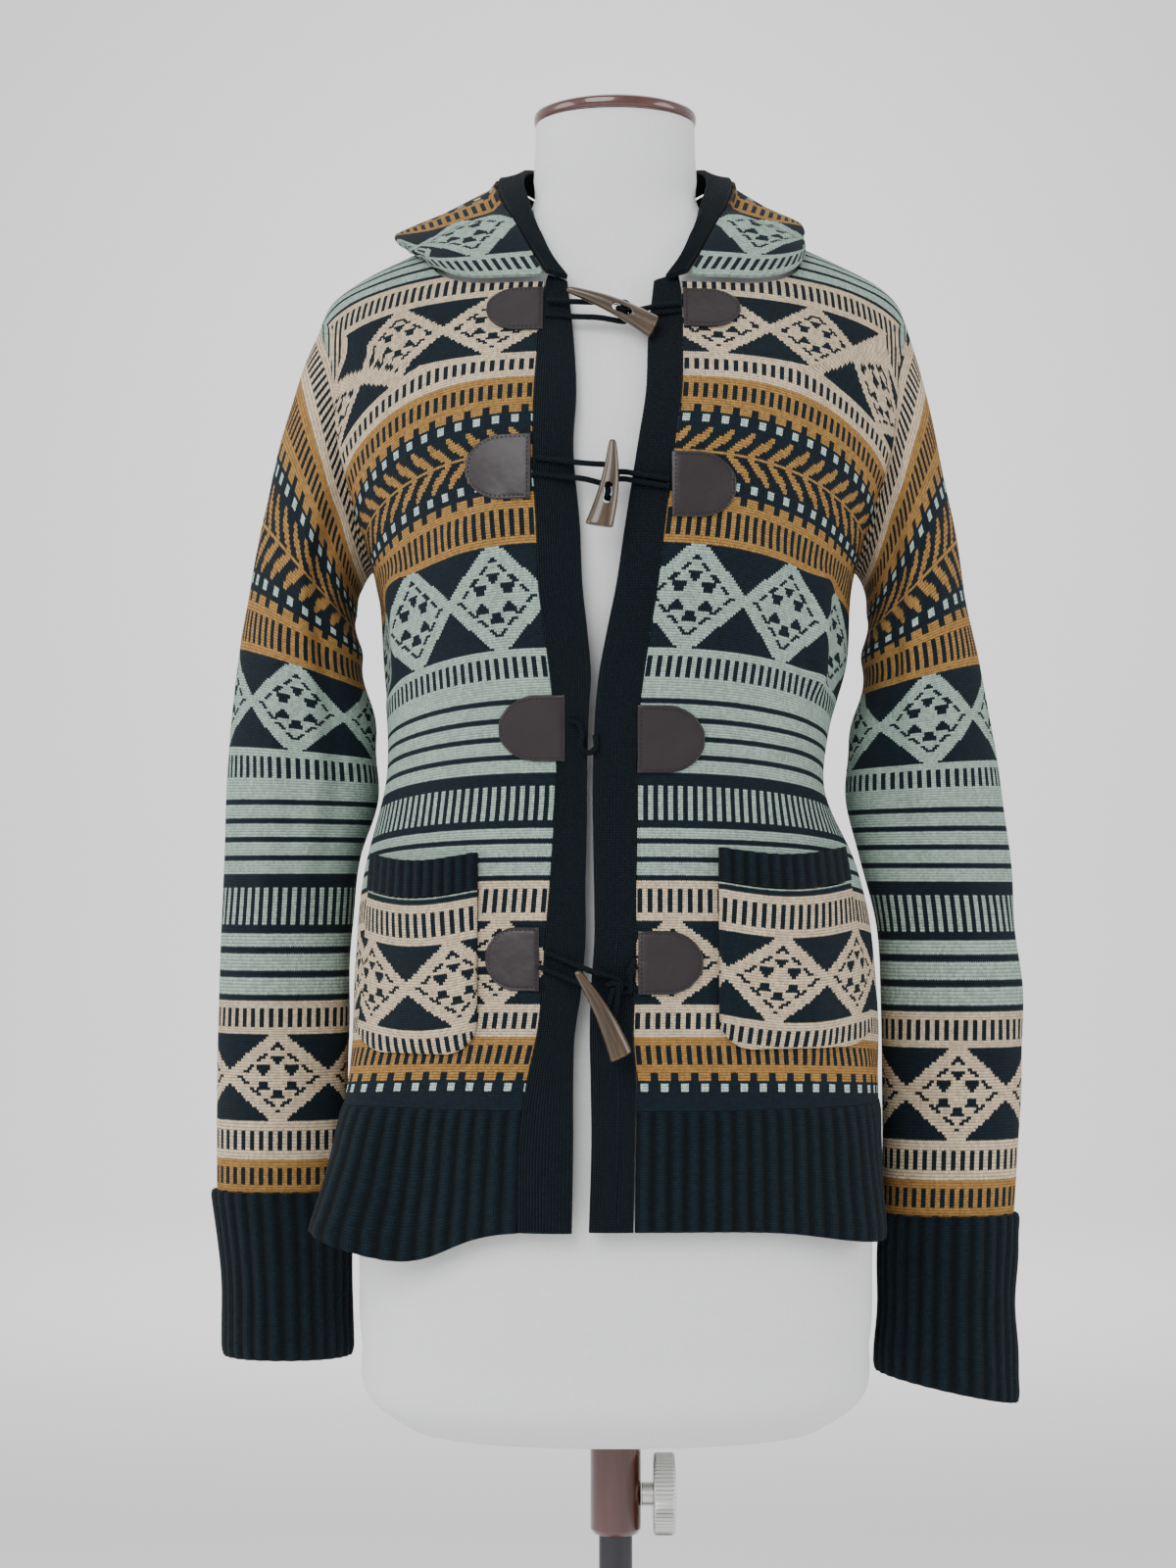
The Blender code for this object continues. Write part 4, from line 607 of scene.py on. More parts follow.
def row_number(z, share):
    """Chart row at height z, at a share 0 to 1 of the way from the opening to the side."""
    level = z + np.interp(z, FALL_HEIGHTS, FALLS) * share ** 2
    beyond = np.clip(level - ROW_HEIGHTS[-1], 0.0, None) / ROW
    return np.interp(level, ROW_HEIGHTS, ROW_NUMBERS) + beyond


def fold_height(points, folds):
    """Sum of soft ridges: each is highest on its line and fades off it and past its ends."""
    x, z = points[..., 0], points[..., 2]
    total = np.zeros_like(x)
    for x0, z0, x1, z1, width, height in folds:
        length = math.hypot(x1 - x0, z1 - z0)
        along = ((x - x0) * (x1 - x0) + (z - z0) * (z1 - z0)) / length ** 2
        off = ((x - x0) * (z1 - z0) - (z - z0) * (x1 - x0)) / length
        fade = np.clip(along / 0.25, 0.0, 1.0) * np.clip((1.0 - along) / 0.25, 0.0, 1.0)
        total = total + height * fade * fade * (3 - 2 * fade) * np.exp(-((off / width) ** 2))
    return total


def ripple(points, size, seed):
    """Slow unevenness of hand-worn cloth: a product of three waves, up to 1 high."""
    x, y, z = np.moveaxis(points / size, -1, 0)
    return np.sin(x + seed + 0.7 * z) * np.sin(0.8 * z + 1.3 * seed + 0.5 * y) * np.cos(0.6 * y + x)


def edge_fade(share, width):
    """0 on both edges of a share from 0 to 1, and 1 farther in than the width."""
    near = np.clip(np.minimum(share, 1.0 - share) / width, 0.0, 1.0)
    return near * near * (3 - 2 * near)


def unit(vectors):
    """Vectors of length 1."""
    return vectors / np.maximum(np.linalg.norm(vectors, axis=-1, keepdims=True), 1e-9)


def run_length(grid, axis):
    """Length along a grid's lines from their start."""
    steps = np.linalg.norm(np.diff(grid, axis=axis), axis=-1)
    pad = [(0, 0), (0, 0)]
    pad[axis] = (1, 0)
    return np.cumsum(np.pad(steps, pad), axis=axis)


def path_length(points):
    """Length along a path from its first point to each of its points."""
    steps = np.linalg.norm(np.diff(points, axis=0), axis=1)
    return np.concatenate([[0.0], np.cumsum(steps)])


def circle_angles(count, shift=0.0):
    """Angles of even steps round a full turn, all moved on by a share of one step."""
    return (np.arange(count) + shift) * 2 * math.pi / count


def quads_of(rows, columns, wrap):
    """Row and column of the four corners of each cell of a grid."""
    last = columns if wrap else columns - 1
    r, c = np.meshgrid(np.arange(rows - 1), np.arange(last), indexing="ij")
    r, c = r.ravel(), c.ravel()
    return np.stack([r, r, r + 1, r + 1], 1), np.stack([c, c + 1, c + 1, c], 1)


def mesh_object(name, points, faces, uvs, kind, sharp=40.0):
    """Closed mesh, its faces turned out, with one coordinate in stitches for each corner."""
    corners = points[faces[:, :3]]
    more = points[faces[:, [0, 2, 3]]]
    volume = sum(float(np.einsum("ij,ij->", t[:, 0], np.cross(t[:, 1], t[:, 2]))) for t in (corners, more))
    if volume < 0.0:
        faces, uvs = faces[:, ::-1], uvs[:, ::-1]
    mesh = bpy.data.meshes.new(name)
    mesh.from_pydata(points.tolist(), [], faces.tolist())
    layer = mesh.uv_layers.new(name="stitches")
    layer.data.foreach_set("uv", np.ascontiguousarray(uvs, np.float32).ravel())
    mesh.shade_smooth()
    mesh.set_sharp_from_angle(angle=math.radians(sharp))
    made = bpy.data.objects.new(name + "_look", mesh)
    bpy.context.scene.collection.objects.link(made)
    mesh.materials.append(finish(kind))
    return made


def shell(name, outer, inner, uv, kind, wrap=False):
    """Closed thin wall between two grids. uv has one more column than a grid that wraps."""
    rows, columns = outer.shape[:2]
    points = np.concatenate([outer.reshape(-1, 3), inner.reshape(-1, 3)])

    def index(r, c, layer):
        return layer * rows * columns + r * columns + c % columns

    r, c = quads_of(rows, columns, wrap)
    faces = [index(r, c, 0), index(r, c, 1)[:, ::-1]]
    uvs = [uv[r, c], uv[r, c][:, ::-1]]
    across = np.arange(columns + 1 if wrap else columns)
    down = np.arange(rows)
    rims = [(0 * across, across, False), (0 * across + rows - 1, across, True)]
    if not wrap:
        rims += [(down, 0 * down, True), (down, 0 * down + columns - 1, False)]
    for r, c, turn in rims:
        quad = np.stack([index(r[:-1], c[:-1], 0), index(r[:-1], c[:-1], 1),
                         index(r[1:], c[1:], 1), index(r[1:], c[1:], 0)], 1)
        place = np.stack([uv[r[:-1], c[:-1]]] * 2 + [uv[r[1:], c[1:]]] * 2, 1)
        faces.append(quad[:, ::-1] if turn else quad)
        uvs.append(place[:, ::-1] if turn else place)
    return mesh_object(name, points, np.concatenate(faces), np.concatenate(uvs), kind)


def cloth(name, outer, inner, uv, kind, wrap=False):
    """A shell that stands for the packed node of its name and rides the form. A shell
    declared as a sheet of the flat size that its own outer grid measures.
    """
    made = shell(name, outer, inner, uv, kind, wrap)
    middle = 0.5 * (outer + inner)
    if wrap:
        middle = np.concatenate([middle, middle[:, :1]], axis=1)
    return worn(made, name, "form")


def worn(made, node, body):
    """The piece stands for one packed node, which is hidden, and rides a body."""
    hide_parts(node)
    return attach(made, body)


def panel_rows():
    """Heights of the panels' rows at the side seam, the armhole and the shoulder seam."""
    middle = 0.5 * (ARMPIT_Z + SHOULDER_Z)
    half = 0.5 * (SHOULDER_Z - ARMPIT_Z) + SEAM_GAP
    below = np.linspace(HEM_SEAM_Z, middle - half, LOW_ROWS)
    turn = np.linspace(0.0, math.pi, ARM_ROWS + 1)[1:]
    armhole = middle - half * np.cos(turn)
    yoke = np.linspace(armhole[-1], NECK_SIDE_Z, YOKE_ROWS)[1:]
    rows = np.concatenate([below, armhole, yoke])
    depths = np.full(len(rows), 0.5 * SEAM_GAP)
    depths[LOW_ROWS:LOW_ROWS + ARM_ROWS] = np.maximum((ARMHOLE_DEPTH + SEAM_GAP) * np.sin(turn),
                                                      0.5 * SEAM_GAP)
    return rows, depths


def placket_angle(column, z):
    """Angle of one band edge at height z."""
    return angle_at_x(table_at(BANDS, z)[..., BAND_COLUMNS.index(column) - 1], z)


def hem_bottom(theta):
    """Height of the hem's lower edge, which dips where it flares."""
    degrees = np.degrees(theta)
    dips = 0.020 * bump(degrees, -45.0, 16.0) + 0.011 * bump(degrees, 62.0, 24.0)
    return HEM_Z - dips - 0.006 * np.clip((np.abs(degrees) - 70.0) / 50.0, 0.0, 1.0)


def ribs_at(share, count, sharpness=0.8):
    """Rounded ribs: 0 in the grooves and 1 on the ridges, for shares 0 to 1 of the width."""
    return (0.5 - 0.5 * np.cos(2 * math.pi * count * share)) ** sharpness


def stitches(across, up):
    """Coordinates of a knitted grid: stitches across and rows up."""
    return np.stack([across, np.broadcast_to(up, across.shape)], axis=-1)


def ribbed(across, up):
    """Coordinates of a grid whose columns share their places across, and rows their places up."""
    return stitches(np.repeat(across[None], len(up), axis=0), up)


def front_rows(sign):
    """A front's rows: height and angle at the side, share of the way up, height at the opening."""
    rows, depths = panel_rows()
    ends = sign * angle_at_y(-depths, rows)
    share = (rows - HEM_SEAM_Z) / (NECK_SIDE_Z - HEM_SEAM_Z)
    return rows, ends, share, rows - share * (neck_height(ends) - NECK_FRONT_Z)


def fronts(side, sign, settings):
    """A front: rows round the body from the band to the side seam, armhole or shoulder seam."""
    rows, ends, share, heights = front_rows(sign)
    starts = placket_angle(side + "_outer", heights) + sign * BAND_GAP_ANGLE
    across = np.linspace(0.0, 1.0, FRONT_COLUMNS)
    theta = starts[:, None] + (ends - starts)[:, None] * across
    drop = neck_height(ends)[:, None] - neck_height(theta)
    outer, normal = body_point(theta, rows[:, None] - share[:, None] * drop)
    relief = fold_height(outer, FRONT_FOLDS) + 0.0006 * ripple(outer, 0.016, 1.0)
    relief = relief * edge_fade(across, 0.10) * edge_fade(share, 0.06)[:, None] * settings.folds
    outer = outer + normal * relief[..., None]
    inner = outer - normal * CLOTH
    inner[0, :, 2] = outer[0, :, 2]
    columns = run_length(outer, 1) / STITCH + DIAMOND_START[side]
    uv = stitches(columns, row_number(outer[..., 2], across[None, :]))
    return cloth("front_" + side, outer, inner, uv, "knit")


def band(side, sign, settings):
    """A front band: fine lengthwise ribs from the hem's lower edge to the neck."""
    heights = front_rows(sign)[3]
    first = float(placket_angle(side + "_outer", heights[:1])[0])
    below = np.linspace(float(hem_bottom(first)), heights[0], 24)[:-1]
    heights = np.concatenate([below, heights])
    edge = placket_angle(side + "_outer", heights) - sign * BAND_GAP_ANGLE
    lip = placket_angle(side + "_inner", heights)
    across = np.linspace(0.0, 1.0, RIB_STEPS * BAND_RIBS + 1)
    theta = lip[:, None] + (edge - lip)[:, None] * across
    top = np.clip((heights[:, None] - BAND_TOP_FROM) / BAND_TOP_SPAN, 0.0, 1.0)
    rise = BAND_TOP_RISE * across * top ** 2
    middle, normal = body_point(theta, heights[:, None] + rise)
    crown = BAND_CROWN * np.sin(math.pi * across) + settings.fine_rib * ribs_at(across, BAND_RIBS)
    crown = crown - 0.0009 * np.exp(-across / 0.035)
    outer = middle + normal * crown[None, :, None]
    uv = ribbed(across * BAND_RIBS, run_length(outer, 0)[:, :1] / ROW)
    return cloth("band_" + side, outer, middle - normal * BAND_CLOTH, uv, "fine_rib")


def back(settings):
    """The back, from side seam to side seam, in rows that bend up to the neck seam."""
    rows, depths = panel_rows()
    right = angle_at_y(depths, rows)
    left = 2 * math.pi - right
    share = (rows - HEM_SEAM_Z) / (NECK_SIDE_Z - HEM_SEAM_Z)
    across = np.linspace(0.0, 1.0, BACK_COLUMNS)
    theta = right[:, None] + (left - right)[:, None] * across
    folded = np.where(theta > math.pi, theta - 2 * math.pi, theta)
    drop = neck_height(right)[:, None] - neck_height(folded)
    outer, normal = body_point(folded, rows[:, None] - share[:, None] * drop)
    relief = fold_height(outer, BACK_FOLDS) + 0.0006 * ripple(outer, 0.018, 2.0)
    relief = relief * edge_fade(across, 0.08) * edge_fade(share, 0.06)[:, None] * settings.folds
    outer = outer + normal * relief[..., None]
    inner = outer - normal * CLOTH
    inner[0, :, 2] = outer[0, :, 2]
    uv = stitches(run_length(outer, 1) / STITCH, row_number(outer[..., 2], np.abs(2 * across - 1)[None, :]))
    return cloth("back", outer, inner, uv, "knit")


def even_angles(start, end, z, count):
    """Angles from start to end with even steps along the section at height z."""
    fine = np.linspace(start, end, 400)
    points, _ = body_point(fine, np.full(400, z))
    length = path_length(points)
    return np.interp(np.linspace(0.0, length[-1], count), length, fine)


def hem(name, column, sign, ribs, settings):
    """A hem piece: rounded upright ribs from the seam to the dipping lower edge."""
    seam = np.array(HEM_SEAM_Z)
    depths = (0.0, HEM_DEPTH)
    side = sign * float(angle_at_y(np.array(-0.5 * SEAM_GAP), seam))
    count = RIB_STEPS * ribs + 1
    top = HEM_SEAM_Z - SEAM_GAP
    if column:
        starts = [float(placket_angle(column, np.array(top - depth))) for depth in depths]
        ends = [(start + sign * BAND_GAP_ANGLE, side) for start in starts]
    else:
        side = float(angle_at_y(np.array(0.5 * SEAM_GAP), seam))
        ends = [(side, 2 * math.pi - side)] * 2
    first, last = (even_angles(*end, top - depth, count) for end, depth in zip(ends, depths))
    down = np.linspace(0.0, 1.0, 26)
    theta = first + (last - first) * down[:, None]
    theta = np.where(theta > math.pi, theta - 2 * math.pi, theta)
    height = top + down[:, None] * (hem_bottom(theta[-1])[None, :] - top)
    middle, normal = body_point(theta, height)
    flat = normal * np.array([1.0, 1.0, 0.0])
    across = np.linspace(0.0, 1.0, count)
    height_share = np.interp(down, (0, 0.06, 0.95, 1), (0.3, 1, 1, 0.7))[:, None]
    rise = settings.rib * ribs_at(across, ribs)[None, :] * height_share
    sway = 0.0008 * ripple(middle, 0.013, 3.0) * edge_fade(across, 0.05) * edge_fade(down, 0.2)[:, None]
    outer = middle + flat * (rise + sway)[..., None]
    uv = ribbed(across * ribs, -down[:, None] * HEM_DEPTH / ROW)
    return cloth(name, outer, middle - flat * CLOTH, uv, "rib")


def tube_rows(table, sign, turns, power=SLEEVE_POWER):
    """Rings of a flattened sleeve from its edge table; also the rings' outward normals."""
    x_out, z_out, x_in, z_in, y_mid, half_depth = (column[:, None, None] for column in table.T)
    cosine, sine = np.cos(turns)[None, :, None], np.sin(turns)[None, :, None]
    wide = np.sign(cosine) * np.abs(cosine) ** (2 / power)
    deep = np.sign(sine) * np.abs(sine) ** (2 / power)
    zero = np.zeros_like(x_out)
    centre = np.concatenate([0.5 * (x_out + x_in), y_mid, 0.5 * (z_out + z_in)], axis=-1)
    half = np.concatenate([0.5 * (x_out - x_in), zero, 0.5 * (z_out - z_in)], axis=-1)
    size = np.linalg.norm(half, axis=-1, keepdims=True)
    forward = np.array([0.0, 1.0, 0.0])
    reach = 2 - 2 / power
    out = np.sign(cosine) * np.abs(cosine) ** reach / size * (half / size)
    out = out + np.sign(sine) * np.abs(sine) ** reach / half_depth * forward
    side = np.array([sign, 1.0, 1.0])
    return (centre + wide * half + deep * half_depth * forward) * side, unit(out) * side


def sleeve(side, sign, table, settings):
    """A sleeve: a tube from the armhole's curve to the cuff seam, with its lengthwise folds."""
    turns = circle_angles(SLEEVE_COLUMNS_ROUND)
    middle = 0.5 * (ARMPIT_Z + SHOULDER_Z)
    height = middle + 0.5 * (SHOULDER_Z - ARMPIT_Z) * np.cos(turns)
    start, start_normal = body_point(sign * angle_at_y(ARMHOLE_DEPTH * np.sin(turns), height), height)
    rings, normals = tube_rows(table, sign, turns)
    crease = np.sin(np.clip((table[:, 1] - 0.90) / 0.45, 0.0, 1.0) * math.pi)[:, None]
    crease = SLEEVE_CREASE * crease * bump(np.degrees(turns)[None, :], 285.0, 14.0)
    rings = rings + normals * crease[..., None]
    normals[0] = unit(normals[0] + 0.4 * start_normal)
    coarse = np.concatenate([start[None], rings])
    out = np.concatenate([start_normal[None], normals])
    counted = np.array(SLEEVE_SECTIONS[side])
    cap = counted[0] + np.linalg.norm(rings[0] - start, axis=-1) / ROW
    number = np.concatenate([cap[None], np.repeat(counted[:, None], len(turns), axis=1)])
    first = 1.0 / len(table)
    shares = np.concatenate([np.linspace(0.0, first, 16)[:-1], np.linspace(first, 1.0, 130)])
    packed = np.concatenate([coarse, out, number[..., None]], axis=-1).reshape(len(coarse), -1)
    fine = curve_points(packed, shares).reshape(len(shares), len(turns), 7)
    outer, normal, number = fine[..., :3], unit(fine[..., 3:6]), fine[..., 6]
    fade = edge_fade(shares, 0.12)[:, None]
    degrees = np.degrees(turns)[None, :]
    down = shares[:, None]
    wander = 6.0 * np.sin(9.0 * down + sign)
    relief = 0.0032 * bump(degrees, 262.0 + wander, 9.0) - 0.0022 * bump(degrees, 245.0 + wander, 8.0)
    relief = relief + 0.0020 * bump(degrees, 90.0 - wander, 12.0)
    relief = relief * np.interp(down, (0.0, 0.15, 0.55, 0.8), (0.2, 1.0, 0.8, 0.0))
    sag = 0.0016 * np.sin(2 * math.pi * 7.0 * down + 2.0 * np.cos(turns)) * bump(down, 0.42, 0.22)
    relief = relief + sag * bump(degrees, 190.0, 70.0) + 0.0007 * ripple(outer, 0.017, 4.0 + sign)
    outer = outer + normal * (relief * fade * settings.folds)[..., None]
    inner = outer - normal * CLOTH
    inner[-1, :, 2] = outer[-1, :, 2]
    closed = np.concatenate([outer, outer[:, :1]], axis=1)
    columns = run_length(closed, 1) / STITCH
    columns = columns - columns[:, -1:] * 0.75 + 0.5 * DIAMOND_PERIOD
    chart = np.interp(number, SLEEVE_ROWS[side], SLEEVE_CHART)
    chart = chart + np.clip(number - SLEEVE_ROWS[side][-1], 0.0, None)
    chart = chart - np.clip(SLEEVE_ROWS[side][0] - number, 0.0, None)
    uv = stitches(columns, np.concatenate([chart, chart[:, :1]], axis=1))
    return cloth("sleeve_" + side, outer, inner, uv, "knit", wrap=True)


def cuff(side, sign, table, settings):
    """A turned-back cuff: a ribbed tube of doubled cloth, rounded at both rims."""
    turns = circle_angles(RIB_STEPS * CUFF_RIBS)
    rings, normals = tube_rows(table, sign, turns)
    down = np.linspace(0.0, 1.0, 40)
    packed = np.concatenate([rings, normals], axis=-1).reshape(len(rings), -1)
    fine = curve_points(packed, down).reshape(len(down), len(turns), 6)
    flat = unit(fine[..., 3:] * np.array([1.0, 1.0, 0.0]))
    rise = settings.rib * ribs_at(np.linspace(0.0, 1.0, len(turns), endpoint=False), CUFF_RIBS)
    rim = np.interp(down, (0.0, 0.03, 0.96, 1.0), (-0.0010, 0.0, 0.0, -0.0012))
    sway = 0.0012 * ripple(fine[..., :3], 0.014, 5.0) * edge_fade(down, 0.2)[:, None]
    outer = fine[..., :3] + flat * (rise[None, :] + rim[:, None] + sway)[..., None]
    inner = fine[..., :3] - flat * CUFF_CLOTH
    across = np.linspace(0.0, CUFF_RIBS, len(turns) + 1)
    uv = ribbed(across, -down[:, None] * CUFF_LENGTH / ROW)
    return cloth("cuff_" + side, outer, inner, uv, "rib", wrap=True)


def hood_half(side, sign, spread, droop, settings):
    """Half of the hood, blown out to the side, its rows running from the band to the back seam."""
    middle = hood_grid(spread, droop) * np.array([sign, 1.0, 1.0])
    normal = unit(np.cross(np.gradient(middle, axis=1), np.gradient(middle, axis=0)) * -sign)
    normal[:, -1, 0] = 0.0
    normal[-1, :, 0] = 0.0
    normal = unit(normal)
    share = np.linspace(0.0, 1.0, HOOD_STEPS)
    off = ((share[None, :] - 0.45) / 0.10) ** 2 + ((share[:, None] - 0.42) / 0.16) ** 2
    hollow = -0.0030 * np.exp(-off) + 0.0010 * ripple(middle, 0.016, 6.0)
    fade = edge_fade(share, 0.15)[None, :] * edge_fade(share, 0.15)[:, None]
    middle = middle + normal * (hollow * fade * settings.folds)[..., None]
    t = share[:, None]
    uv = stitches(run_length(middle, 1) / STITCH, HOOD_FIRST_ROW + t * HOOD_LENGTH / ROW)
    outer, inner = middle + normal * 0.5 * CLOTH, middle - normal * 0.5 * CLOTH
    return cloth("hood_" + side, outer, inner, uv, "knit")


def hood_band(settings):
    """The ribbed band that goes on from the fronts, round the hood's edge."""
    shares = np.linspace(0.0, 1.0, 64)
    outer_edge = curve_points(HOOD_EDGE, shares)
    inner_edge = curve_points(HOOD_BAND_INNER, shares)
    outer_edge = outer_edge - unit(outer_edge - inner_edge) * (2.2 * SEAM_GAP + 0.5 * CLOTH)
    share = np.linspace(0.0, 1.0, RIB_STEPS * HOOD_RIBS + 1)
    right = inner_edge[:, None] + (outer_edge - inner_edge)[:, None] * share[None, :, None]
    right = clear_of(FORM, right + np.array([0.0, 0.0, SEAM_GAP * 2]), HOOD_BAND_CLEAR)
    left = (right * np.array([-1.0, 1.0, 1.0]))[::-1]
    middle = np.concatenate([right, left[1:]])
    normal = unit(np.cross(np.gradient(middle, axis=1), np.gradient(middle, axis=0)))
    rise = 0.5 * BAND_CLOTH + settings.fine_rib * ribs_at(share, HOOD_RIBS)
    outer = middle + normal * rise[None, :, None]
    uv = ribbed(share * HOOD_RIBS, run_length(middle, 0)[:, :1] / ROW)
    inner = middle - normal * 0.5 * BAND_CLOTH
    return cloth("hood_band", outer, inner, uv, "fine_rib")


def on_front(x, z, settings):
    """Point and normal of the front's surface, folds included, at places across and heights."""
    aim = np.array(x, float)
    for _ in range(10):
        theta = angle_at_x(np.clip(aim, -0.15, 0.15), z)
        point, normal = body_point(theta, z)
        aim = aim + (x - point[..., 0])
    return point + normal * (fold_height(point, FRONT_FOLDS) * settings.folds)[..., None], normal


def dashes(name, points, along, normal, length, width, kind):
    """Short threads: one low six-sided bead, drawn out along the seam, at each point."""
    side = np.cross(normal, along)
    rings = []
    for step, size in ((-0.5, 0.35), (-0.3, 1.0), (0.3, 1.0), (0.5, 0.35)):
        turn = circle_angles(6)
        out = side[:, None] * np.cos(turn)[None, :, None] + normal[:, None] * np.sin(turn)[None, :, None]
        rings.append(points[:, None] + along[:, None] * step * length + out * 0.5 * width * size)
    grid = np.stack(rings, axis=1)
    count = len(points)
    flat = grid.reshape(-1, 3)
    base = (np.arange(count) * 24)[:, None]
    r, c = quads_of(4, 6, True)
    cell = r * 6 + c % 6
    faces = (base[:, :, None] + cell[None]).reshape(-1, 4)
    ends = np.array([[3, 2, 1, 0], [5, 4, 3, 0], [18, 19, 20, 21], [18, 21, 22, 23]])
    faces = np.concatenate([faces, (base[:, :, None] + ends[None]).reshape(-1, 4)])
    made = mesh_object(name, flat, faces, flat[faces][..., [0, 2]] / ROW, kind)
    return made


def patch(name, straight, rounded, low, high, trim, settings):
    """A leather patch: straight edge by the opening, round at the other end, edges bevelled."""
    half = 0.5 * (high - low)
    middle = 0.5 * (low + high)
    u = np.sin(np.linspace(0.0, 0.5 * math.pi, 34)) * 0.996
    k = np.sin(np.linspace(-0.5 * math.pi, 0.5 * math.pi, 31))
    reach = half * np.sqrt(1.0 - (np.clip(u - PATCH_STRAIGHT, 0.0, None) / (1.0 - PATCH_STRAIGHT)) ** 2)
    x = np.repeat((straight + u * (rounded - straight))[:, None], len(k), axis=1)
    z = middle + k[None, :] * reach[:, None]
    point, normal = on_front(x, z, settings)
    edge = np.maximum(np.abs(k)[None, :], np.maximum(np.abs(u - 0.5)[:, None] * 2.0, 0.0))
    rounding = 1.0 - 0.55 * np.clip((edge - 0.93) / 0.07, 0.0, 1.0) ** 2
    dip = 0.00035 * np.exp(-(((edge - 0.90) / 0.02) ** 2))
    outer = point + normal * (PATCH_CLEAR + LEATHER * rounding - dip)[..., None]
    inner = point + normal * PATCH_CLEAR
    uv = stitches((x - straight) / ROW, (z - middle) / ROW)
    made = shell("patch_" + name, outer, inner, uv, "leather")
    worn(made, "patch_" + name, "form")
    turn = np.linspace(0.0, math.pi, 40)
    shape = np.concatenate([
        np.stack([np.full(20, straight), np.linspace(-half, half, 20)], 1),
        np.stack([straight + (rounded - straight) * (PATCH_STRAIGHT + (1 - PATCH_STRAIGHT) * np.sin(turn)),
                  half * np.cos(turn)], 1),
    ])
    centre = np.array([0.5 * (straight + rounded), 0.0])
    size = np.array([0.5 * abs(rounded - straight), half])
    shape = centre + (shape - centre) * (1.0 - trim.stitch_inset / size)
    closed = np.concatenate([shape, shape[:1]])
    length = path_length(closed)
    count = int(length[-1] / trim.stitch_pitch)
    places = np.arange(count) * length[-1] / count
    flat = np.stack([np.interp(places, length, closed[:, i]) for i in (0, 1)], 1)
    ahead = np.stack([np.interp(places + 0.0004, length, closed[:, i]) for i in (0, 1)], 1)
    spot, out = on_front(flat[:, 0], flat[:, 1] + middle, settings)
    next_spot, _ = on_front(ahead[:, 0], ahead[:, 1] + middle, settings)
    lift = PATCH_CLEAR + LEATHER
    threads = dashes("threads_" + name, spot + out * lift, unit(next_spot - spot), out,
                     0.62 * trim.stitch_pitch, trim.thread, "thread")
    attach(threads, "form")


def pocket_surface(u, v, edges, settings):
    """Back face of a pocket: u from the inner edge to the side, v from its bottom to its top."""
    inner_x, side_low, side_high, bottom, seam, top = edges
    side_x = side_low + v * (side_high - side_low)
    x = inner_x + u * (side_x - inner_x)
    edge = np.minimum(u, 1.0 - u) * np.abs(side_x - inner_x)
    short = np.maximum(POCKET_CORNER - edge, 0.0)
    rounding = POCKET_CORNER - np.sqrt(np.maximum(POCKET_CORNER ** 2 - short ** 2, 0.0))
    split = (seam - bottom) / (top - bottom)
    part = np.minimum(1.0, v / split)
    sag = POCKET_SAG * np.sin(math.pi * u)
    z = bottom + v * (top - bottom) - sag * part
    z = z + rounding * (1.0 - part)
    point, normal = on_front(x, z, settings)
    puff = POCKET_MOUTH * np.sin(math.pi * np.clip(u, 0.0, 1.0)) ** 0.7 * np.minimum(1.0, v * 1.5) ** 0.8
    return point + normal * (POCKET_CLEAR + puff)[..., None], normal, seam - sag - z


def pocket(side, edges, settings):
    """A patch pocket, a little open at the mouth, and its ribbed top."""
    bottom, seam, top = edges[3:]
    split = (seam - bottom) / (top - bottom)
    part = 0.5 * POCKET_SEAM / (top - bottom)
    u, v = np.meshgrid(np.linspace(0.0, 1.0, 84), np.linspace(0.0, split - part, 76))
    inner, normal, below = pocket_surface(u, v, edges, settings)
    rim = 1.0 - 0.5 * np.exp(-np.minimum(np.minimum(u, 1.0 - u) / 0.012, v / 0.012))
    outer = inner + normal * (CLOTH * rim)[..., None]
    columns = run_length(outer, 1) / STITCH + POCKET_START[side]
    uv = stitches(columns, POCKET_TOP_ROW - below / ROW)
    cloth("pocket_" + side, outer, inner, uv, "knit")
    u, v = np.meshgrid(np.linspace(0.0, 1.0, RIB_STEPS * POCKET_RIBS + 1), np.linspace(split + part, 1.0, 24))
    inner, normal, _ = pocket_surface(u, v, edges, settings)
    rise = CLOTH + settings.rib * ribs_at(u, POCKET_RIBS)
    outer = inner + normal * rise[..., None]
    uv = stitches(u * POCKET_RIBS, (v - split) * (top - bottom) / ROW)
    cloth("pocket_rib_" + side, outer, inner, uv, "rib")


def front_depth(x, z):
    """Depth of the front surface at a place across the opening."""
    theta = angle_at_x(np.array(x), np.array(z))
    return float(body_point(theta, np.array(z))[0][1])


def tube(name, points, radius, kind):
    """Round cord: a ring of points about each place of its path, which is smoothed first."""
    path = curve_points(np.array(points), np.linspace(0.0, 1.0, 8 * len(points)))
    ahead = unit(np.gradient(path, axis=0))
    side = unit(np.cross(ahead, np.array([0.31, 0.90, 0.29])))
    other = np.cross(ahead, side)
    turn = circle_angles(CORD_SIDES)
    ring = side[:, None] * np.cos(turn)[None, :, None] + other[:, None] * np.sin(turn)[None, :, None]
    grid = path[:, None] + ring * radius
    length = run_length(path[:, None], 0) / (2 * radius)
    uv = ribbed(np.linspace(0.0, 1.0, CORD_SIDES + 1), length)
    return closed_tube(name, grid, uv, kind), path


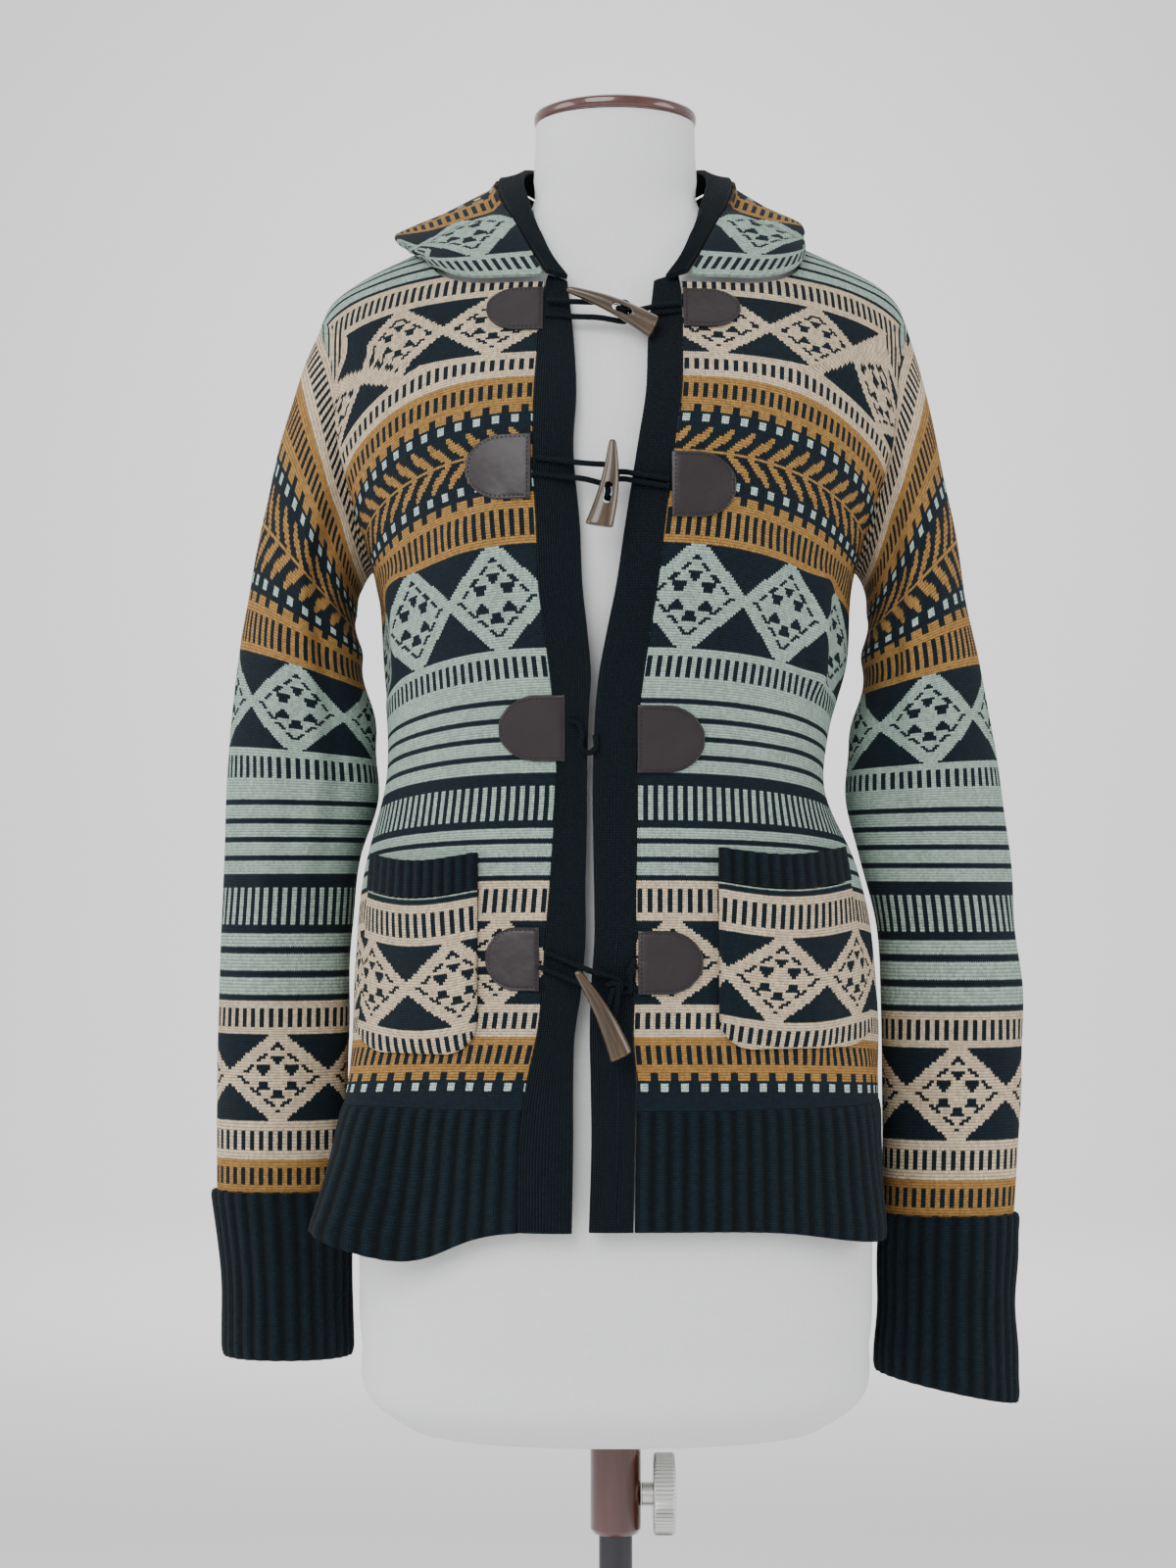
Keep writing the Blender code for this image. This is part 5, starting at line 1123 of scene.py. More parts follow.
def closed_tube(name, grid, uv, kind, sharp=40.0):
    """Rings joined to a tube whose ends are closed by fans about their middles."""
    rows, columns = grid.shape[:2]
    points = np.concatenate([grid.reshape(-1, 3), grid[0].mean(axis=0)[None], grid[-1].mean(axis=0)[None]])
    r, c = quads_of(rows, columns, True)
    faces = [r * columns + c % columns]
    uvs = [uv[r, c]]
    step = np.arange(0, columns, 2)
    for row, centre, turn in ((0, rows * columns, True), (rows - 1, rows * columns + 1, False)):
        fan = np.stack([row * columns + step, row * columns + (step + 1) % columns,
                        row * columns + (step + 2) % columns, np.full(len(step), centre)], 1)
        place = uv[row, np.stack([step, step + 1, step + 2, step + 1], 1) % (columns + 1)]
        faces.append(fan[:, ::-1] if turn else fan)
        uvs.append(place[:, ::-1] if turn else place)
    return mesh_object(name, points, np.concatenate(faces), np.concatenate(uvs), kind, sharp)


def over_band(x, z, depth, clear=CORD_CLEAR):
    """Depth of a cord's middle, held clear of the front surface behind it."""
    return min(depth, front_depth(x, z) - CORD_RADIUS - clear)


def quarter_turn(direction):
    """A direction on the front's plane, turned by a quarter."""
    return np.array([-direction[1], direction[0]])


def loop_path(start, hook, depth_at_hook):
    """A doubled cord: out from the patch, round the hook, and back."""
    start = np.array(start)
    total = np.linalg.norm(hook - start)
    along = (hook - start) / total
    across = quarter_turn(along)
    turns = np.linspace(0.0, math.pi, 7)
    bend = [hook + LOOP_SPREAD * (across * math.cos(a) + along * math.sin(a)) for a in turns]
    out = [start + across * 0.8 * LOOP_SPREAD + k * (hook - start) for k in (0.0, 0.35, 0.7)]
    home = [start - across * 0.8 * LOOP_SPREAD + k * (hook - start) for k in (0.7, 0.35, 0.0)]
    points = []
    for place in out + bend + home:
        share = min(max(float(np.dot(place - start, along)) / total / 0.8, 0.0), 1.0)
        ease = share * share * (3 - 2 * share)
        depth = over_band(*start, 0.0, LEFT_CORD_CLEAR) * (1 - ease) + depth_at_hook * ease
        points.append((place[0], over_band(*place, depth, LEFT_CORD_CLEAR), place[1]))
    return points


def slot_place(row):
    """Centre of a toggle's slot and the direction of the toggle, on the front's plane."""
    tip, butt = np.array(TOGGLES[row][0]), np.array(TOGGLES[row][1])
    along = (butt - tip) / np.linalg.norm(butt - tip)
    across = quarter_turn(along)
    return tip + SLOT_PLACE * (butt - tip) + across * TOGGLE_BEND * math.sin(math.pi * SLOT_PLACE), along


def leg_path(row, start, hook, near, toggle_depth, sign):
    """One strand of the right cord: through the left loop at the hook, then into the slot.

    sign is 1 for the upper strand and -1 for the lower one.
    """
    slot, along = slot_place(row)
    spread = sign * LEG_SPREAD
    half_way = 0.5 * (np.array(start) + hook) + np.array([0.004, 0.0])
    route = [
        (start[0], over_band(*start, 0.0), start[1] + spread),
        (half_way[0], over_band(*half_way, near), half_way[1] + spread),
        (hook[0] + 0.0110, near, hook[1] + spread),
        (hook[0] + 0.0040, near, hook[1] + spread),
    ]
    target = slot - along * spread
    over = near - CORD_LAYER
    if TOGGLES[row][3] is None:
        route.append((0.5 * (hook[0] + target[0]) + 0.0010, near - 0.5 * CORD_LAYER,
                      0.5 * (hook[1] + target[1]) + 0.6 * spread))
    else:
        over = over - CORD_LAYER
        turned_hook = hook - along * spread
        route.append((turned_hook[0], near - CORD_LAYER, turned_hook[1]))
        route.append((turned_hook[0], over, turned_hook[1]))
        if sign > 0:
            aside = LEG_SIDESTEP * quarter_turn(along)
            target = slot + along * spread
            beside = hook + aside + along * 0.0010
            route.append((beside[0], over, beside[1]))
            beside = slot + aside + along * 0.0004
            route.append((beside[0], over, beside[1]))
        else:
            target = slot + along * spread
    route.append((target[0], over, target[1]))
    route.append((target[0], toggle_depth, target[1]))
    return np.array(route)


def toggle(row, depth):
    """A horn toggle: rings that swell from the tip to the butt on a bent line, less its slot."""
    tip, butt, half_width = np.array(TOGGLES[row][0]), np.array(TOGGLES[row][1]), TOGGLES[row][2]
    slot, along = slot_place(row)
    across = quarter_turn(along)
    share = 0.5 - 0.5 * np.cos(np.linspace(0.0, math.pi, 60))
    near_end = np.clip(np.minimum(share / 0.035, (1.0 - share) / 0.022), 0.0, 1.0)
    rounding = 0.50 + 0.50 * np.sqrt(1.0 - (1.0 - near_end) ** 2)
    wide = (TOGGLE_TIP + (half_width - TOGGLE_TIP) * share ** 0.8) * rounding
    thick = (TOGGLE_TIP + (TOGGLE_DEPTH - TOGGLE_TIP) * share ** 0.6) * rounding
    turn = circle_angles(TOGGLE_SIDES)
    centre = tip + share[:, None] * (butt - tip) + across * TOGGLE_BEND * np.sin(math.pi * share)[:, None]
    place = centre[:, None] + across * (wide[:, None] * np.cos(turn))[..., None]
    grid = np.stack([place[..., 0], depth + thick[:, None] * np.sin(turn), place[..., 1]], axis=-1)
    uv = ribbed(np.linspace(0.0, 1.0, TOGGLE_SIDES + 1), share[:, None])
    made = closed_tube("toggle_" + row, grid, uv, "horn", 50.0)
    turn = circle_angles(SLOT_SIDES, 0.5)
    shift = np.copysign(SLOT_HALF_LENGTH - SLOT_HALF_WIDTH, np.cos(turn))
    outline = (slot + along * (SLOT_HALF_WIDTH * np.cos(turn) + shift)[:, None]
               + across * (SLOT_HALF_WIDTH * np.sin(turn))[:, None])
    front = 0.65 * TOGGLE_DEPTH if row == BLIND_SLOT else SLOT_CUT
    levels = np.array([depth - front, depth + SLOT_CUT])[:, None]
    parts = (outline[:, 0], levels, outline[:, 1])
    prism = np.stack([np.broadcast_to(part, (2, SLOT_SIDES)) for part in parts], axis=-1)
    cutter = closed_tube("slot_" + row, prism, np.zeros((2, SLOT_SIDES + 1, 2)), "horn")
    cut = made.modifiers.new("slot", "BOOLEAN")
    cut.operation, cut.solver, cut.object = "DIFFERENCE", "EXACT", cutter
    bpy.context.view_layer.update()
    solid = bpy.data.meshes.new_from_object(made.evaluated_get(bpy.context.evaluated_depsgraph_get()))
    made.modifiers.remove(cut)
    made.data = solid
    bpy.data.objects.remove(cutter, do_unlink=True)
    return worn(made, "toggle_" + row, "form")


def fastening_routes():
    """Each cord's name and points, and each toggle's depth, from the patches and the toggles."""
    routes, depths = {}, {}
    for row, facts in TOGGLES.items():
        hook = facts[3]
        left, right = PATCHES[row + "_left"], PATCHES[row + "_right"]
        left_start = (left[0] + CORD_START, 0.5 * (left[2] + left[3]))
        right_start = (right[0] - CORD_START, 0.5 * (right[2] + right[3]))
        slot = slot_place(row)[0]
        place = slot if hook is None else np.array(hook)
        near = over_band(*slot, over_band(*place, 0.0))
        layers = 1 if hook is None else 2
        depths[row] = near - layers * CORD_LAYER - CORD_RADIUS - TOGGLE_DEPTH - TOGGLE_CLEAR
        routes["loop_left_" + row] = loop_path(left_start, place, near - CORD_LAYER)
        legs = [leg_path(row, right_start, place, near, depths[row], sign) for sign in (1.0, -1.0)]
        strands = [curve_points(leg, np.linspace(0.0, 1.0, 2 * len(leg) - 1)) for leg in legs]
        routes["loop_right_" + row] = np.concatenate([strands[0], strands[1][::-1]])
    loose = np.array([(x, over_band(x, z, 0.0), z) for x, z in LOOSE_LOOP])
    routes["loop_left_row3"] = curve_points(loose, np.linspace(0.0, 1.0, 14))
    return routes, depths


def rounded(profile, radius):
    """A profile with its corners cut by short curves: each is a bend between two near points."""
    profile = [np.array(p, float) for p in profile]
    out = [profile[0]]
    for before, here, after in zip(profile[:-2], profile[1:-1], profile[2:]):
        first, last = before - here, after - here
        reach = min(radius, 0.45 * np.linalg.norm(first), 0.45 * np.linalg.norm(last))
        start = here + first / np.linalg.norm(first) * reach
        end = here + last / np.linalg.norm(last) * reach
        for t in np.linspace(0.0, 1.0, 6):
            out.append((1 - t) ** 2 * start + 2 * t * (1 - t) * here + t * t * end)
    return np.array(out + [profile[-1]])


def turned(name, profile, kind, radius=0.001, sides=96, centre=(0.0, 0.0, 0.0), axis="Z", flutes=(0, 0.0)):
    """Rings of a profile of radius and height turned about an axis, with flutes cut round it."""
    outline = rounded(profile, radius)
    turn = circle_angles(sides)
    size, height = outline[:, :1], np.repeat(outline[:, 1:], sides, axis=1)
    groove = flutes[1] * (0.5 + 0.5 * np.cos(flutes[0] * turn)) * (size > 0.97 * size.max())
    reach = size - groove
    round_it = [reach * np.cos(turn), reach * np.sin(turn)]
    order = round_it + [height] if axis == "Z" else [height] + round_it
    grid = np.stack(order, axis=-1) + np.array(centre)
    uv = ribbed(np.linspace(0.0, 1.0, sides + 1), path_length(outline)[:, None])
    return worn(closed_tube(name, grid, uv, kind, 35.0), name, BODY_OF.get(name, "form"))


def torso(settings):
    """The form's torso: smooth sections over its height, with the pole's bore below."""
    turn = circle_angles(FORM_SIDES)
    turn = np.where(turn > math.pi, turn - 2 * math.pi, turn)
    circle = np.stack([np.sin(turn), -np.cos(turn)], axis=1) * FORM_BORE
    bore = [np.concatenate([circle, np.full((FORM_SIDES, 1), height)], axis=1)
            for height in (FORM_BORE_TOP, FORM_BOTTOM)]
    heights = np.concatenate([np.linspace(FORM[0, 0], FORM[2, 0], 24)[:-1],
                              np.linspace(FORM[2, 0], FORM[-1, 0], 130)])
    rings = section_point(FORM, np.repeat(turn[None], len(heights), axis=0), heights[:, None])
    grid = np.concatenate([np.stack(bore), rings])
    up = np.concatenate([[0.0, 0.0], heights])[:, None] / settings.thread_pitch
    around = np.linspace(0.0, FORM_GIRTH, FORM_SIDES + 1) / settings.thread_pitch
    made = closed_tube("form_torso", grid, ribbed(around, up), "linen", 50.0)
    return worn(made, "form_torso", "form")


class Graph:
    """Short names for adding shader nodes to a tree and joining them."""

    def __init__(self, tree):
        self.tree = tree
        tree.nodes.clear()

    def node(self, kind, **settings):
        made = self.tree.nodes.new(kind if kind.startswith("Node") else "ShaderNode" + kind)
        for key, value in settings.items():
            setattr(made, key, value)
        return made

    def join(self, socket, value):
        if isinstance(value, bpy.types.NodeSocket):
            self.tree.links.new(value, socket)
        else:
            socket.default_value = value

    def fill(self, node, values):
        for name, value in values.items():
            self.join(node.inputs[name], value)

    def math(self, operation, *values):
        made = self.node("Math", operation=operation)
        for socket, value in zip(made.inputs, values):
            self.join(socket, value)
        return made.outputs[0]

    def vector(self, operation, *values):
        made = self.node("VectorMath", operation=operation)
        for socket, value in zip(made.inputs, values):
            self.join(socket, value)
        return made.outputs[0]

    def product(self, *values):
        total = values[0]
        for value in values[1:]:
            total = self.math("MULTIPLY", total, value)
        return total

    def below(self, value, limit):
        return self.math("LESS_THAN", value, limit)

    def above(self, value, limit):
        return self.math("GREATER_THAN", value, limit)

    def split(self, vector):
        made = self.node("SeparateXYZ")
        self.join(made.inputs[0], vector)
        return made.outputs

    def place(self, x, y, z=0.0):
        made = self.node("CombineXYZ")
        for socket, value in zip(made.inputs, (x, y, z)):
            self.join(socket, value)
        return made.outputs[0]

    def noise(self, vector, scale, detail=2.0):
        made = self.node("TexNoise")
        self.fill(made, {"Vector": vector, "Scale": scale, "Detail": detail})
        return made.outputs[0]

    def mix(self, factor, first, second, blend="MIX"):
        made = self.node("Mix", data_type="RGBA", blend_type=blend)
        for number, value in ((0, factor), (6, first), (7, second)):
            self.join(made.inputs[number], value)
        return made.outputs[2]

    def dimmed(self, colour, value):
        grey = self.node("CombineColor")
        for socket in grey.inputs:
            self.join(socket, value)
        return self.mix(1.0, colour, grey.outputs[0], "MULTIPLY")

    def ramp(self, factor, stops):
        made = self.node("ValToRGB")
        self.join(made.inputs[0], factor)
        elements = made.color_ramp.elements
        while len(elements) < len(stops):
            elements.new(0.5)
        for element, (position, colour) in zip(elements, stops):
            element.position, element.color = position, (*colour, 1.0)
        return made.outputs[0]

    def bump(self, height, strength, distance):
        made = self.node("Bump")
        self.fill(made, {"Height": height, "Strength": strength, "Distance": distance})
        return made.outputs[0]

    def use(self, tree, **values):
        made = self.node("Group", node_tree=tree)
        for name, value in values.items():
            self.join(made.inputs[name.replace("_", " ")], value)
        return made.outputs

    def surface(self, **values):
        shader = self.node("BsdfPrincipled")
        for name, value in values.items():
            self.join(shader.inputs[name.replace("_", " ")], value)
        output = self.node("OutputMaterial")
        self.tree.links.new(shader.outputs[0], output.inputs[0])


def group(name, inputs, outputs):
    """A node group with named sockets: its tree, graph, given values and result node."""
    tree = bpy.data.node_groups.new(name, "ShaderNodeTree")
    for title, kind in inputs.items():
        tree.interface.new_socket(name=title, in_out="INPUT", socket_type="NodeSocket" + kind)
    for title, kind in outputs.items():
        tree.interface.new_socket(name=title, in_out="OUTPUT", socket_type="NodeSocket" + kind)
    graph = Graph(tree)
    return tree, graph, graph.node("NodeGroupInput").outputs, graph.node("NodeGroupOutput").inputs


def stitch_group():
    """Knit stitches: two leaning strands for each, with their row, column and relief."""
    tree, g, given, result = group("Knit stitch", {"Place": "Vector", "Unevenness": "Float"},
                                   {"Row": "Float", "Column": "Float", "Relief": "Float"})
    x, y, _ = g.split(given["Place"])
    wander = g.math("SUBTRACT", g.noise(given["Place"], 0.45), 0.5)
    hair = g.math("SUBTRACT", g.noise(given["Place"], 2.3), 0.5)
    y = g.math("ADD", y, g.product(wander, given["Unevenness"]))
    x = g.math("ADD", x, g.product(hair, given["Unevenness"], 0.45))
    side = g.math("ABSOLUTE", g.math("SUBTRACT", g.math("FRACT", x), 0.5))
    lean = g.math("SUBTRACT", y, g.math("MULTIPLY", side, 0.95))
    strand = g.math("FRACT", lean)
    off = g.math("ABSOLUTE", g.math("MULTIPLY_ADD", side, 4.0, -1.0))
    leg = g.math("SUBTRACT", 1.0, g.math("POWER", off, 2.2))
    round_it = g.product(strand, g.math("SUBTRACT", 1.0, strand), 4.0)
    relief = g.math("POWER", g.math("MAXIMUM", g.product(leg, round_it), 0.0), 0.7)
    for name, value in (("Row", g.math("FLOOR", lean)), ("Column", g.math("FLOOR", x)), ("Relief", relief)):
        g.join(result[name], value)
    return tree


def chart_group():
    """The pattern's colour number at a row and column, from the chart's bands."""
    tree, g, given, result = group("Knit chart", {"Row": "Float", "Column": "Float"},
                                   {"Colour number": "Float"})
    row, column = given["Row"], given["Column"]
    bands = np.array(CHART, float)
    place, colours = tuple(bands[0, :3]), (*bands[0, 3:], 0.0)
    for before, band_row in zip(bands[:-1], bands[1:]):
        step = g.above(row, float(band_row[0]) - 0.5)
        change = band_row - before
        place = g.vector("MULTIPLY_ADD", step, tuple(change[:3]), place)
        colours = g.vector("MULTIPLY_ADD", step, (*change[3:], 0.0), colours)
    start, rows, motif = g.split(place)
    ground, figure, _ = g.split(colours)
    up = g.math("SUBTRACT", row, start)
    left_over = g.math("SUBTRACT", rows, up)
    four = g.below(g.math("FLOORED_MODULO", column, 4.0), 1.5)
    eight = g.math("FLOORED_MODULO", column, 8.0)
    middle = g.product(g.above(up, 2.5), g.above(left_over, 3.5))
    masks = {
        TICKS: g.math("SUBTRACT", 1.0, g.product(four, middle)),
        STRIPES: g.above(g.math("FLOORED_MODULO", up, 7.0), 1.5),
        BARS: g.product(four, g.above(up, 2.5), g.above(left_over, 3.5)),
        MERLONS: g.below(eight, 4.5),
        SQUARES: g.product(g.above(eight, 0.5), g.below(eight, 3.5)),
        DIAMONDS: diamond_mask(g, up, rows, column),
        LEAVES: leaf_mask(g, up, column),
    }
    chosen = 0.0
    for number, mask in masks.items():
        chosen = g.math("MULTIPLY_ADD", g.math("COMPARE", motif, float(number), 0.2), mask, chosen)
    contrast = g.math("SUBTRACT", figure, ground)
    g.join(result["Colour number"], g.math("MULTIPLY_ADD", chosen, contrast, ground))
    return tree


def diamond_mask(g, up, rows, column):
    """Diamonds that touch at their corners: a border, a dashed line and six hearts inside."""
    x = g.math("SUBTRACT", g.math("FLOORED_MODULO", column, DIAMOND_PERIOD), 0.5 * DIAMOND_PERIOD - 0.5)
    half = g.math("MULTIPLY", g.math("SUBTRACT", rows, 1.0), 0.5)
    y = g.math("MULTIPLY", g.math("SUBTRACT", up, half), g.math("DIVIDE", DIAMOND_ROWS, rows))
    wide = g.math("ABSOLUTE", x)
    far = g.math("ADD", g.math("MULTIPLY", wide, 2.0 / DIAMOND_PERIOD),
                 g.math("MULTIPLY", g.math("ABSOLUTE", y), 2.0 / DIAMOND_ROWS))
    dash = g.above(g.math("FLOORED_MODULO", up, 4.0), 0.5)
    line = g.product(g.above(far, 0.69), g.below(far, 0.80), dash)
    hearts = 0.0
    for heart_x, heart_y in HEARTS:
        turn = math.copysign(0.55, heart_y)
        off = g.math("ABSOLUTE", g.math("SUBTRACT", x, heart_x))
        rise = g.math("SUBTRACT", y, heart_y)
        narrow = g.math("MULTIPLY_ADD", rise, -turn, off)
        heart = g.product(g.below(narrow, 2.3), g.below(g.math("ABSOLUTE", rise), 2.1))
        hearts = g.math("MAXIMUM", heart, hearts)
    dark = g.math("MAXIMUM", line, hearts)
    return g.product(g.below(far, 1.13), g.math("SUBTRACT", 1.0, dark))


def leaf_mask(g, up, column):
    """A stem with leaves that lean away from it on both sides."""
    off = g.math("ABSOLUTE", g.math("SUBTRACT", up, 9.0))
    lean = g.math("FLOORED_MODULO", g.math("MULTIPLY_ADD", off, -1.15, column), 9.0)
    taper = g.math("POWER", g.math("SUBTRACT", off, 4.6), 2.0)
    width = g.math("MULTIPLY_ADD", taper, -0.12, 4.6)
    leaf = g.product(g.math("LESS_THAN", lean, width), g.above(off, 0.8))
    return g.math("MAXIMUM", leaf, g.below(off, 0.6))


def palette_group(colours):
    """The colour that belongs to a colour number."""
    tree, g, given, result = group("Yarn palette", {"Colour number": "Float"}, {"Colour": "Color"})
    shown = (*colours[0], 1.0)
    for number, colour in enumerate(colours[1:], 1):
        same = g.math("COMPARE", given["Colour number"], float(number), 0.3)
        shown = g.mix(same, shown, (*colour, 1.0))
    g.join(result["Colour"], shown)
    return tree


def wool_group():
    """Yarn: painted shade between the strands, tone uneven from stitch to stitch, and a little hairy."""
    wanted = {"Colour": "Color", "Relief": "Float", "Place": "Vector", "Gap": "Float"}
    tree, g, given, result = group("Wool", wanted, {"Colour": "Color", "Height": "Float"})
    x, y, _ = g.split(given["Place"])
    cell = g.node("TexWhiteNoise", noise_dimensions="2D")
    g.join(cell.inputs["Vector"], g.place(g.math("FLOOR", x), g.math("FLOOR", y)))
    tone = g.math("MULTIPLY_ADD", cell.outputs[0], 0.44, 0.82)
    slow = g.math("MULTIPLY_ADD", g.noise(given["Place"], 0.02, 3.0), 0.30, 0.85)
    hair = g.math("MULTIPLY_ADD", g.noise(given["Place"], 6.0, 3.0), 0.5, 0.75)
    # Painted shade: the colour is dimmed between the strands, down to the gap's brightness.
    depth = g.math("MULTIPLY_ADD", given["Relief"], g.math("SUBTRACT", 1.0, given["Gap"]), given["Gap"])
    g.join(result["Colour"], g.dimmed(given["Colour"], g.product(tone, slow, hair, depth)))
    g.join(result["Height"], g.math("MULTIPLY_ADD", g.noise(given["Place"], 5.0, 2.0), 0.25, given["Relief"]))
    return tree


GROUPS = {}


def shared(name, make, *values):
    """A shared node group, made when it is first wanted."""
    if name not in GROUPS:
        GROUPS[name] = make(*values)
    return GROUPS[name]


def stitch_coordinates(g):
    """The piece's own coordinates in stitches."""
    return g.node("UVMap", uv_map="stitches").outputs[0]


def knit_finish(g, scene):
    """Patterned stocking stitch."""
    look = scene.cardigan_knit
    uv = stitch_coordinates(g)
    stitch = g.use(shared("stitch", stitch_group), Place=uv, Unevenness=look.unevenness)
    number = g.use(shared("chart", chart_group), Row=stitch["Row"], Column=stitch["Column"])[0]
    yarns = (look.dark, look.sage, look.cream, look.ochre, look.pale)
    colour = g.use(shared("palette", palette_group, [tuple(c) for c in yarns]), Colour_number=number)[0]
    wool = g.use(shared("wool", wool_group), Colour=colour, Relief=stitch["Relief"], Place=uv, Gap=look.gap)
    g.surface(Base_Color=wool["Colour"], Roughness=0.95, Sheen_Weight=0.03, Sheen_Roughness=0.6,
              Specular_IOR_Level=0.10, Normal=g.bump(wool["Height"], 0.8, 0.0006))


def rib_finish(g, scene, stitches_each, groove):
    """Plain dark rib: stitches on the ridges, shade in the grooves."""
    look = scene.cardigan_knit
    x, y, _ = g.split(stitch_coordinates(g))
    place = g.place(g.math("MULTIPLY", x, stitches_each), y)
    stitch = g.use(shared("stitch", stitch_group), Place=place, Unevenness=look.unevenness)
    ridge = g.math("MULTIPLY_ADD", g.math("COSINE", g.math("MULTIPLY", x, 2 * math.pi)), -0.5, 0.5)
    wool = g.use(shared("wool", wool_group), Colour=(*look.dark, 1.0), Relief=stitch["Relief"], Place=place,
                 Gap=look.gap)
    shade = g.math("MULTIPLY_ADD", ridge, groove, 1.0 - groove)
    g.surface(Base_Color=g.dimmed(wool["Colour"], shade), Roughness=0.95, Sheen_Weight=0.03,
              Sheen_Roughness=0.6, Specular_IOR_Level=0.10, Normal=g.bump(wool["Height"], 0.7, 0.0006))


def leather_finish(g, scene):
    """Dark smooth leather: fine grain, slow shade and a soft sheen."""
    look = scene.cardigan_trim
    uv = stitch_coordinates(g)
    grain = g.node("TexVoronoi", feature="DISTANCE_TO_EDGE")
    g.fill(grain, {"Vector": uv, "Scale": 3.2})
    rough = g.noise(uv, 1.6, 4.0)
    colour = g.mix(g.noise(uv, 0.09, 3.0), (*look.leather, 1.0), (*[1.9 * c for c in look.leather], 1.0))
    height = g.math("MULTIPLY_ADD", rough, 0.4, g.math("MINIMUM", grain.outputs[0], 0.2))
    height = g.math("MULTIPLY_ADD", g.noise(uv, 0.11, 2.0), 9.0, height)
    g.surface(Base_Color=colour, Roughness=g.math("MULTIPLY_ADD", rough, 0.15, 0.26), Coat_Weight=0.10,
              Coat_Roughness=0.25, Specular_IOR_Level=0.30, Normal=g.bump(height, 0.45, 0.0002))


def horn_finish(g, scene):
    """Polished horn: streaks along it from dark to honey."""
    look = scene.cardigan_trim
    around, along, _ = g.split(stitch_coordinates(g))
    turn = g.math("MULTIPLY", around, 2 * math.pi)
    place = g.place(g.math("COSINE", turn), g.math("SINE", turn), g.math("MULTIPLY", along, 0.9))
    streak = g.noise(place, 3.6, 5.0)
    fine = g.noise(g.vector("MULTIPLY", place, (6.0, 6.0, 0.7)), 3.0, 3.0)
    mixed = g.math("MULTIPLY_ADD", fine, 0.35, g.math("MULTIPLY", streak, 0.8))
    honey = tuple(look.horn)
    stops = ((0.28, [0.16 * c for c in honey]), (0.50, [0.55 * c for c in honey]), (0.66, honey),
             (0.82, [min(1.9 * c, 1.0) for c in honey]))
    g.surface(Base_Color=g.ramp(mixed, stops), Roughness=0.24, Coat_Weight=0.35, Coat_Roughness=0.08,
              Subsurface_Weight=0.06, Subsurface_Scale=0.002, Normal=g.bump(fine, 0.10, 0.0002))


def cord_finish(g, scene):
    """Round braid: strands that wind both ways along the cord, with painted shade between them."""
    around, along, _ = g.split(stitch_coordinates(g))
    wound = g.math("MULTIPLY", around, 4.0)
    first, other = (g.math("SINE", g.math("MULTIPLY", g.math(way, wound, along), 2 * math.pi))
                    for way in ("ADD", "SUBTRACT"))
    braid = g.math("MAXIMUM", first, other)
    # Painted shade between the strands: the colour dims where the braid dips.
    shade = g.math("MULTIPLY_ADD", braid, 0.35, 0.65)
    g.surface(Base_Color=g.dimmed((*scene.cardigan_trim.cord, 1.0), shade), Roughness=0.85,
              Specular_IOR_Level=0.12, Normal=g.bump(braid, 0.7, 0.0004))


def thread_finish(g, scene):
    """Dark waxed sewing thread."""
    twist = g.noise(stitch_coordinates(g), 3.0)
    g.surface(Base_Color=g.dimmed((*scene.cardigan_trim.seam, 1.0), twist), Roughness=0.6)


def linen_finish(g, scene):
    """Plain weave: threads over and under, with painted shade where they dip, and slubs."""
    look = scene.cardigan_form
    uv = stitch_coordinates(g)
    x, y, _ = g.split(uv)
    over = g.math("SINE", g.math("MULTIPLY", x, 2 * math.pi))
    under = g.math("SINE", g.math("MULTIPLY", y, 2 * math.pi))
    weave = g.math("MULTIPLY_ADD", g.product(over, under), 0.5, 0.5)
    slub = g.noise(g.vector("MULTIPLY", uv, (0.06, 0.9, 1.0)), 1.0, 3.0)
    other = g.noise(g.vector("MULTIPLY", uv, (0.9, 0.06, 1.0)), 1.0, 3.0)
    tone = g.math("MULTIPLY_ADD", g.math("ADD", slub, other), 0.10, 0.88)
    # Painted shade: the colour dims where the threads dip under each other.
    tone = g.product(tone, g.math("MULTIPLY_ADD", weave, 0.10, 0.90))
    height = g.math("ADD", weave, g.math("ADD", slub, other))
    g.surface(Base_Color=g.dimmed((*look.linen, 1.0), tone), Roughness=0.9, Sheen_Weight=0.1,
              Specular_IOR_Level=0.2, Normal=g.bump(height, 0.35, 0.0003))


def wood_finish(g, scene):
    """Dark stained wood under gloss varnish: long grain seen faintly."""
    look = scene.cardigan_form
    here = g.node("TexCoord").outputs["Object"]
    grain = g.noise(g.vector("MULTIPLY", here, (60.0, 60.0, 4.0)), 3.0, 5.0)
    colour = g.mix(grain, (*[0.35 * c for c in look.wood], 1.0), (*[1.6 * c for c in look.wood], 1.0))
    g.surface(Base_Color=colour, Roughness=0.3, Coat_Weight=0.9, Coat_Roughness=0.06,
              Normal=g.bump(grain, 0.05, 0.0003))


def metal_finish(g, scene, colour, roughness):
    """Metal with fine turning marks and slow tarnish."""
    here = g.node("TexCoord").outputs["Object"]
    marks = g.noise(g.vector("MULTIPLY", here, (900.0, 40.0, 40.0)), 1.0, 2.0)
    cloud = g.noise(here, 30.0, 3.0)
    shade = g.math("MULTIPLY_ADD", cloud, 0.3, 0.8)
    g.surface(Base_Color=g.dimmed((*colour, 1.0), shade), Metallic=1.0,
              Roughness=g.math("MULTIPLY_ADD", marks, 0.2, roughness), Normal=g.bump(marks, 0.08, 0.0001))


